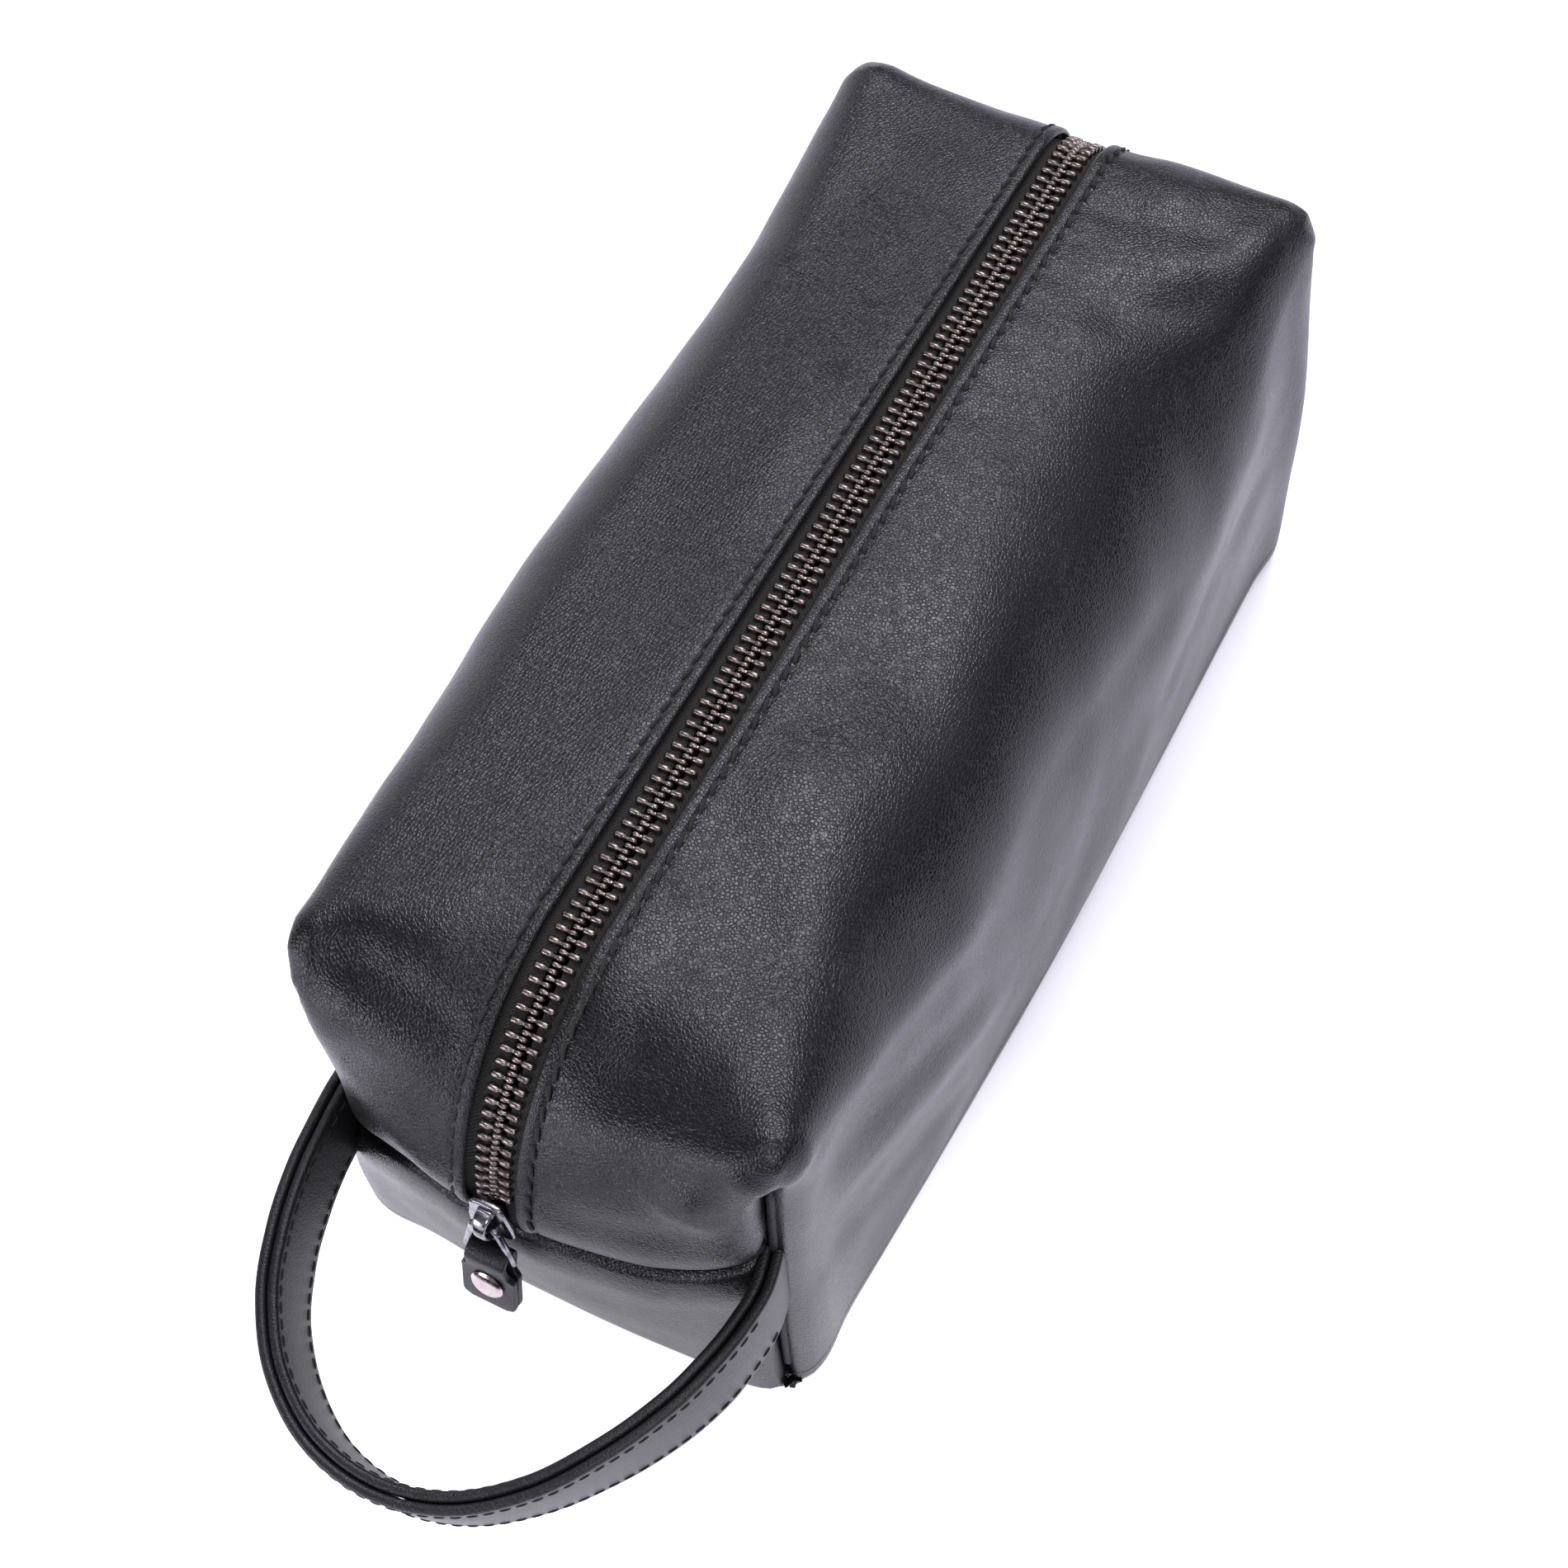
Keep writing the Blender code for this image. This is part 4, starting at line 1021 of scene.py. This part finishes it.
def solid_plate(outline, low, high, bevel):
    """A bmesh of an outline (along, across) pulled from one height to another, with rounded edges."""
    mesh = bmesh.new()
    under = [mesh.verts.new((u, v, low)) for u, v in outline]
    over = [mesh.verts.new((u, v, high)) for u, v in outline]
    count = len(outline)
    mesh.faces.new(list(reversed(under)))
    mesh.faces.new(over)
    for k in range(count):
        mesh.faces.new([under[k], under[(k + 1) % count], over[(k + 1) % count], over[k]])
    bmesh.ops.recalc_face_normals(mesh, faces=mesh.faces)
    bmesh.ops.bevel(mesh, geom=list(mesh.edges), offset=bevel, segments=3, profile=0.5,
                    affect="EDGES", clamp_overlap=True)
    for vert in mesh.verts:
        vert.co = Vector(on_slider(*vert.co)) * MM
    bmesh.ops.recalc_face_normals(mesh, faces=mesh.faces)
    return mesh


def join(name, pieces, paint):
    """One object from several pieces that touch."""
    whole = bmesh.new()
    for piece in pieces:
        data = bpy.data.meshes.new("part")
        piece.to_mesh(data)
        piece.free()
        data.shade_smooth()
        whole.from_mesh(data)
        bpy.data.meshes.remove(data)
    data = bpy.data.meshes.new(name)
    whole.to_mesh(data)
    whole.free()
    data.set_sharp_from_angle(angle=math.radians(40.0))
    data.materials.append(paint)
    return add_object(name, data)


OUT = np.array([1.0, 0.0, 0.0])
UP_ZIP = np.array([0.0, 0.0, 1.0])
ACROSS = np.array([0.0, 1.0, 0.0])
SLIDER_CENTRE = np.array([ARC_X, 0.0, ARC_Z]) + NEAR_RADIUS * OUT
LINK_PIVOT = SLIDER_CENTRE + OUT * BAR_HEIGHT


def turned_down(tilt):
    """Directions along and off a flat piece that hangs from the slider, tilted away from the bag."""
    down = -UP_ZIP * math.cos(tilt) + OUT * math.sin(tilt)
    off = OUT * math.cos(tilt) + UP_ZIP * math.sin(tilt)
    return down, off


LINK_DOWN, LINK_OFF = turned_down(LINK_TILT)
TAB_DOWN, TAB_OFF = turned_down(LINK_TILT + TAB_TILT)
TAB_PIVOT = LINK_PIVOT + LINK_DOWN * LINK_LENGTH


def on_slider(t, y, height):
    return SLIDER_CENTRE + UP_ZIP * t + ACROSS * y + OUT * height


def make_slider():
    """Two plates round a wedge, with a lug under each foot of the crown."""
    half = ((5.2, 1.3), (4.9, 2.7), (4.0, 3.5), (1.5, 3.8),
            (-1.5, 4.4), (-4.2, 4.5), (-5.4, 3.8), (-6.0, 2.0))
    outline = list(half) + [(t, -y) for t, y in reversed(half)]
    pieces = [solid_plate(outline, *TOP_PLATE, 0.42), solid_plate(outline, *UNDER_PLATE, 0.35)]
    wedge = ((-0.5, 0.55), (-2.4, 1.35), (-4.4, 1.2), (-4.4, -1.2), (-2.4, -1.35), (-0.5, -0.55))
    pieces.append(solid_plate(wedge[::-1], UNDER_PLATE[1] - 0.15, TOP_PLATE[0] + 0.15, 0.1))
    lug = ((3.9, 1.5), (2.3, 1.5), (2.3, -1.5), (3.9, -1.5))
    for shift in (0.0, -6.2):
        pieces.append(solid_plate([(t + shift, y) for t, y in lug], 1.3, 2.35, 0.3))
    fit(join("slider_case", pieces, SLIDER), ("slider_body",), "slider")


def make_crown():
    """The arched bridge that holds the link."""
    half, rise = CROWN_ARCH
    section = [squarish(a, 0.55, 0.7) for a in turn(20)]
    rings = []
    for angle in np.linspace(0.0, math.pi, 29):
        u, v = math.cos(angle), math.sin(angle)
        middle = on_slider(half * u, 0.0, CROWN_FOOT + rise * max(0.0, v) ** 0.7)
        lean = unit(np.array([u / half, v / rise]))
        outward = UP_ZIP * lean[0] + OUT * lean[1]
        rings.append([middle + ACROSS * (1.15 + 0.35 * u * u) * x + outward * 0.46 * y for x, y in section])
    crown = face_out(new_mesh("crown", *loft(rings), SLIDER))
    fit(crown, ("slider_crown",), "slider")


def rounded_loop(corners, radius):
    """A closed outline with its corners rounded by short arcs."""
    found = []
    count = len(corners)
    for k in range(count):
        before, at, after = (np.array(corners[(k + n) % count], float) for n in (-1, 0, 1))
        start, end = at + unit(before - at) * radius, at + unit(after - at) * radius
        for t in np.linspace(0.0, 1.0, 7):
            found.append((1 - t) ** 2 * start + 2 * t * (1 - t) * at + t * t * end)
    return found


def make_link():
    """A cast loop, narrow at the crown and wide at the bar that the tab folds over."""
    top, foot = LINK_HALF_WIDTHS
    loop = rounded_loop(((-top, 0.0), (top, 0.0), (foot, LINK_LENGTH), (-foot, LINK_LENGTH)), 1.3)
    centre = np.mean(loop, axis=0)
    rings = []
    count = len(loop)
    section = [squarish(a, 0.75, 0.75) for a in turn(16)]
    for k in range(count):
        way = unit(loop[(k + 1) % count] - loop[k - 1])
        inward = np.array([-way[1], way[0]])
        if inward @ (centre - loop[k]) < 0.0:
            inward = -inward
        arm = smooth(loop[k][1] / 3.0) * smooth((LINK_LENGTH - 1.2 - loop[k][1]) / 2.0)
        wide = 0.65 + 0.45 * float(arm)
        across = ACROSS * inward[0] + LINK_DOWN * inward[1]
        middle = LINK_PIVOT + ACROSS * loop[k][0] + LINK_DOWN * loop[k][1] + across * 0.6
        rings.append([middle + across * wide * x + LINK_OFF * 0.6 * y for x, y in section])
    link = face_out(new_mesh("link", *loft(rings, closed=True), SLIDER))
    fit(link, ("pull_link",), "puller")


def rounded_section(half_width, half_height, edge, steps=4):
    """Corner points of a flat section with rounded edges, as (across, up)."""
    edge = min(edge, half_width, half_height)
    found = []
    for quarter, (x, y) in enumerate(((1, 1), (-1, 1), (-1, -1), (1, -1))):
        for k in range(steps + 1):
            angle = math.pi / 2.0 * (quarter + k / steps)
            found.append((x * (half_width - edge) + edge * math.cos(angle),
                          y * (half_height - edge) + edge * math.sin(angle)))
    return found


def spline(points, steps):
    """A smooth curve through rows of any number of values (Catmull-Rom)."""
    points = np.asarray(points, float)
    knots = np.concatenate([[2.0 * points[0] - points[1]], points, [2.0 * points[-1] - points[-2]]])
    t = (np.arange(steps) / steps)[:, None]
    curve = []
    for a, b, c, d in zip(knots, knots[1:], knots[2:], knots[3:]):
        curve.append(0.5 * (2 * b + (c - a) * t + (2 * a - 5 * b + 4 * c - d) * t ** 2
                            + (3 * b - a - 3 * c + d) * t ** 3))
    return np.concatenate(curve + [points[-1:]])


def make_tab():
    """A short strip of leather folded over the link's bar and riveted to itself."""
    half = TAB_THICKNESS / 2.0
    side = [(TAB_LENGTH, 0.70), (10.0, 0.72), (RIVET_AT, 0.70), (4.6, 0.82), (2.6, 1.30), (1.0, 1.75),
            (-0.4, 1.82), (-1.45, 1.15), (-1.85, 0.0)]
    route = spline(side + [(down, -off) for down, off in reversed(side[:-1])], 6)
    rings = []
    for (down, off), (w_down, w_off) in zip(route, unit(np.gradient(route, axis=0))):
        to_tip = max(0.0, TAB_LENGTH - down)
        corner = TAB_CORNER - math.sqrt(max(0.0, TAB_CORNER ** 2 - max(0.0, TAB_CORNER - to_tip) ** 2))
        waist = (TAB_HALF_WIDTH - TAB_NECK) * float(smooth((4.4 - down) / 1.9))
        width = TAB_HALF_WIDTH - corner - waist
        point = TAB_PIVOT + TAB_DOWN * down + TAB_OFF * off
        up = TAB_DOWN * w_off - TAB_OFF * w_down
        rings.append([point + ACROSS * x + up * y for x, y in rounded_section(width, half, 0.3)])
    tab = face_out(new_mesh("tab_strip", *loft(rings), STRAP))
    fit(tab, ("pull_tab",), "tab")


def make_rivet():
    """A domed cap with its shank, and a flat ring behind."""
    face = TAB_THICKNESS / 2.0 + 0.74
    cap = [(3.15 * math.sin(a), face + 0.42 + 0.75 * math.cos(a)) for a in np.linspace(0.12, 1.45, 9)]
    cap += [(3.25, face + 0.42), (3.26, face + 0.2), (3.1, face + 0.04)]
    cap += [(2.8, face), (0.95, face), (0.95, -face)]
    back = [(2.2, -face - 0.02), (2.5, -face - 0.1), (2.6, -face - 0.4)]
    back += [(2.4, -face - 0.7), (1.5, -face - 0.8), (1.0, -face - 0.62)]
    for name, profile, node_name in (("cap", cap, "rivet_cap"), ("back", back, "rivet_back")):
        rings = [[TAB_PIVOT + TAB_DOWN * (RIVET_AT + radius * math.sin(a)) + ACROSS * radius * math.cos(a)
                  + TAB_OFF * height for a in turn(40)] for radius, height in profile]
        rivet = face_out(new_mesh("rivet_" + name + "_dome", *loft(rings), RIVET))
        fit(rivet, (node_name,), "tab")


# ---------------------------------------------------------------- strap

def strap_frames():
    """Places along the middle of the strap, with their outward and upward directions."""
    curve = spline(STRAP_ROUTE, 12)
    points = curve[:, :3]
    way = unit(np.gradient(points, axis=0))
    out = unit(np.cross(way, [0.0, 0.0, 1.0]))
    lean = curve[:, 3:]
    out = out * np.cos(lean) - np.array([0.0, 0.0, 1.0]) * np.sin(lean)
    out = unit(out - way * np.sum(out * way, axis=1)[:, None])
    up = np.cross(out, way)
    return points, out, up * np.sign(up[0][2])


def hang(obj):
    """Bake the placement of a piece of the strap into its mesh."""
    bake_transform(obj)


def make_strap():
    """Two layers with the seams along their edges; their ends go into the corner seams."""
    points, out, up = strap_frames()
    steps = np.linalg.norm(np.diff(points, axis=0), axis=1)
    reach = np.concatenate([[0.0], np.cumsum(steps)])
    section = rounded_section(STRAP_HALF, STRAP_LAYER / 2.0, 0.85, 5)
    for name, sign, tail in (("outer", 1.0, "left"), ("inner", -1.0, "right")):
        shift = sign * (STRAP_LAYER / 2.0 + STRAP_GAP)
        rings = [[place + high * x + wide * (y + shift) for x, y in section]
                 for place, wide, high in zip(points, out, up)]
        flat = [(distance, x + 3.0 * y) for distance in reach for x, y in section]
        verts, faces = loft(rings)
        layer = face_out(new_mesh("strap_" + name + "_leather", verts, faces, STRAP, uv=flat))
        hang(layer)
        fit(layer, ("strap_" + name, "strap_tail_" + tail))
        surface = points + out * (shift + sign * STRAP_LAYER / 2.0)
        for edge, offset in (("top", STRAP_HALF - STRAP_STITCH), ("foot", STRAP_STITCH - STRAP_HALF)):
            open_part = slice(STRAP_HIDDEN, -STRAP_HIDDEN)
            row, along = stitch_row("strap_stitches_" + name + "_" + edge, (surface + up * offset)[open_part],
                                    (out * sign)[open_part], STRAP_STITCH_PITCH, STRAP_STITCH_SIZE)
            hang(row)
            fit(row)


make_leather()
make_lining()
make_bindings()
make_welts()
make_tapes()
make_teeth()
make_zip_stitches()
make_slider()
make_crown()
make_link()
make_tab()
make_rivet()
make_strap()


# ---------------------------------------------------------------- floor, light and camera

def stage_floor():
    corners = ((-1.0, -1.0), (1.0, -1.0), (1.0, 1.0), (-1.0, 1.0))
    data = bpy.data.meshes.new("floor")
    data.from_pydata([(x * FLOOR_SIZE, y * FLOOR_SIZE, 0.0) for x, y in corners], [], [(0, 1, 2, 3)])
    floor = add_object("floor", data)
    made, tree, shader = material("pale_floor", (0.86, 0.85, 0.96), 0.8)
    shader.inputs["Emission Color"].default_value = (0.97, 0.96, 1.0, 1.0)
    away = node(tree, "ShaderNodeVectorMath", operation="DISTANCE")
    tree.links.new(node(tree, "ShaderNodeTexCoord").outputs["Object"], away.inputs[0])
    away.inputs[1].default_value = GLOW_CENTRE
    tree.links.new(ramp(tree, away.outputs["Value"], *GLOW_REACH, FLOOR_GLOW, FLOOR_LIGHT),
                   shader.inputs["Emission Strength"])
    data.materials.append(made)


def area_light(name):
    data = bpy.data.lights.new(name, "AREA")
    data.shape = "RECTANGLE"
    data.size, data.size_y = BOX_SIZE
    data.energy = BOX_POWER
    light = add_object(name, data)
    light.location = BOX_PLACE
    light.rotation_euler = (Vector(BOX_TARGET) - Vector(BOX_PLACE)).to_track_quat("-Z", "Y").to_euler()


def stage_light():
    """A bright ceiling that falls off to dark walls, and a soft box over the bag."""
    world = bpy.data.worlds.new("studio")
    world.use_nodes = True
    tree = world.node_tree
    background = tree.nodes["Background"]
    split = node(tree, "ShaderNodeSeparateXYZ")
    direction = node(tree, "ShaderNodeTexCoord").outputs["Generated"]
    tree.links.new(direction, split.inputs[0])
    ceiling = ramp(tree, split.outputs["Z"], *CEILING_FADE, 0.0, 1.0)
    side = ramp(tree, split.outputs["Y"], *SIDE_FADE)
    behind = ramp(tree, split.outputs["X"], *BACK_FADE)
    strength = math_node(tree, "MULTIPLY", math_node(tree, "MULTIPLY", ceiling, side), behind)
    strength = math_node(tree, "ADD", strength, HORIZON)
    for way, rim, middle, brightness in SOFTBOXES:
        facing = node(tree, "ShaderNodeVectorMath", operation="DOT_PRODUCT")
        tree.links.new(direction, facing.inputs[0])
        facing.inputs[1].default_value = way
        strength = math_node(tree, "ADD", strength,
                             ramp(tree, facing.outputs["Value"], rim, middle, 0.0, brightness))
    tree.links.new(strength, background.inputs["Strength"])
    background.inputs["Color"].default_value = LIGHT_TINT
    bpy.context.scene.world = world
    bpy.context.scene.view_settings.view_transform = "Standard"
    area_light("near_softbox")


def make_camera():
    """Over the strap end, a little to the right, looking down at the bag."""
    look = Vector(CAMERA_LOOK).normalized()
    up = Vector(CAMERA_RIGHT).cross(look).normalized()
    right = look.cross(up)
    data = bpy.data.cameras.new("camera")
    data.sensor_width = 36.0
    data.lens = CAMERA_LENS
    data.clip_start, data.clip_end = 0.01, 50.0
    camera = add_object("camera", data)
    place = Matrix((right, up, -look)).transposed().to_4x4()
    place.translation = Vector(CAMERA_PLACE) * MM
    camera.matrix_world = place
    bpy.context.scene.camera = camera


stage_floor()
stage_light()
make_camera()
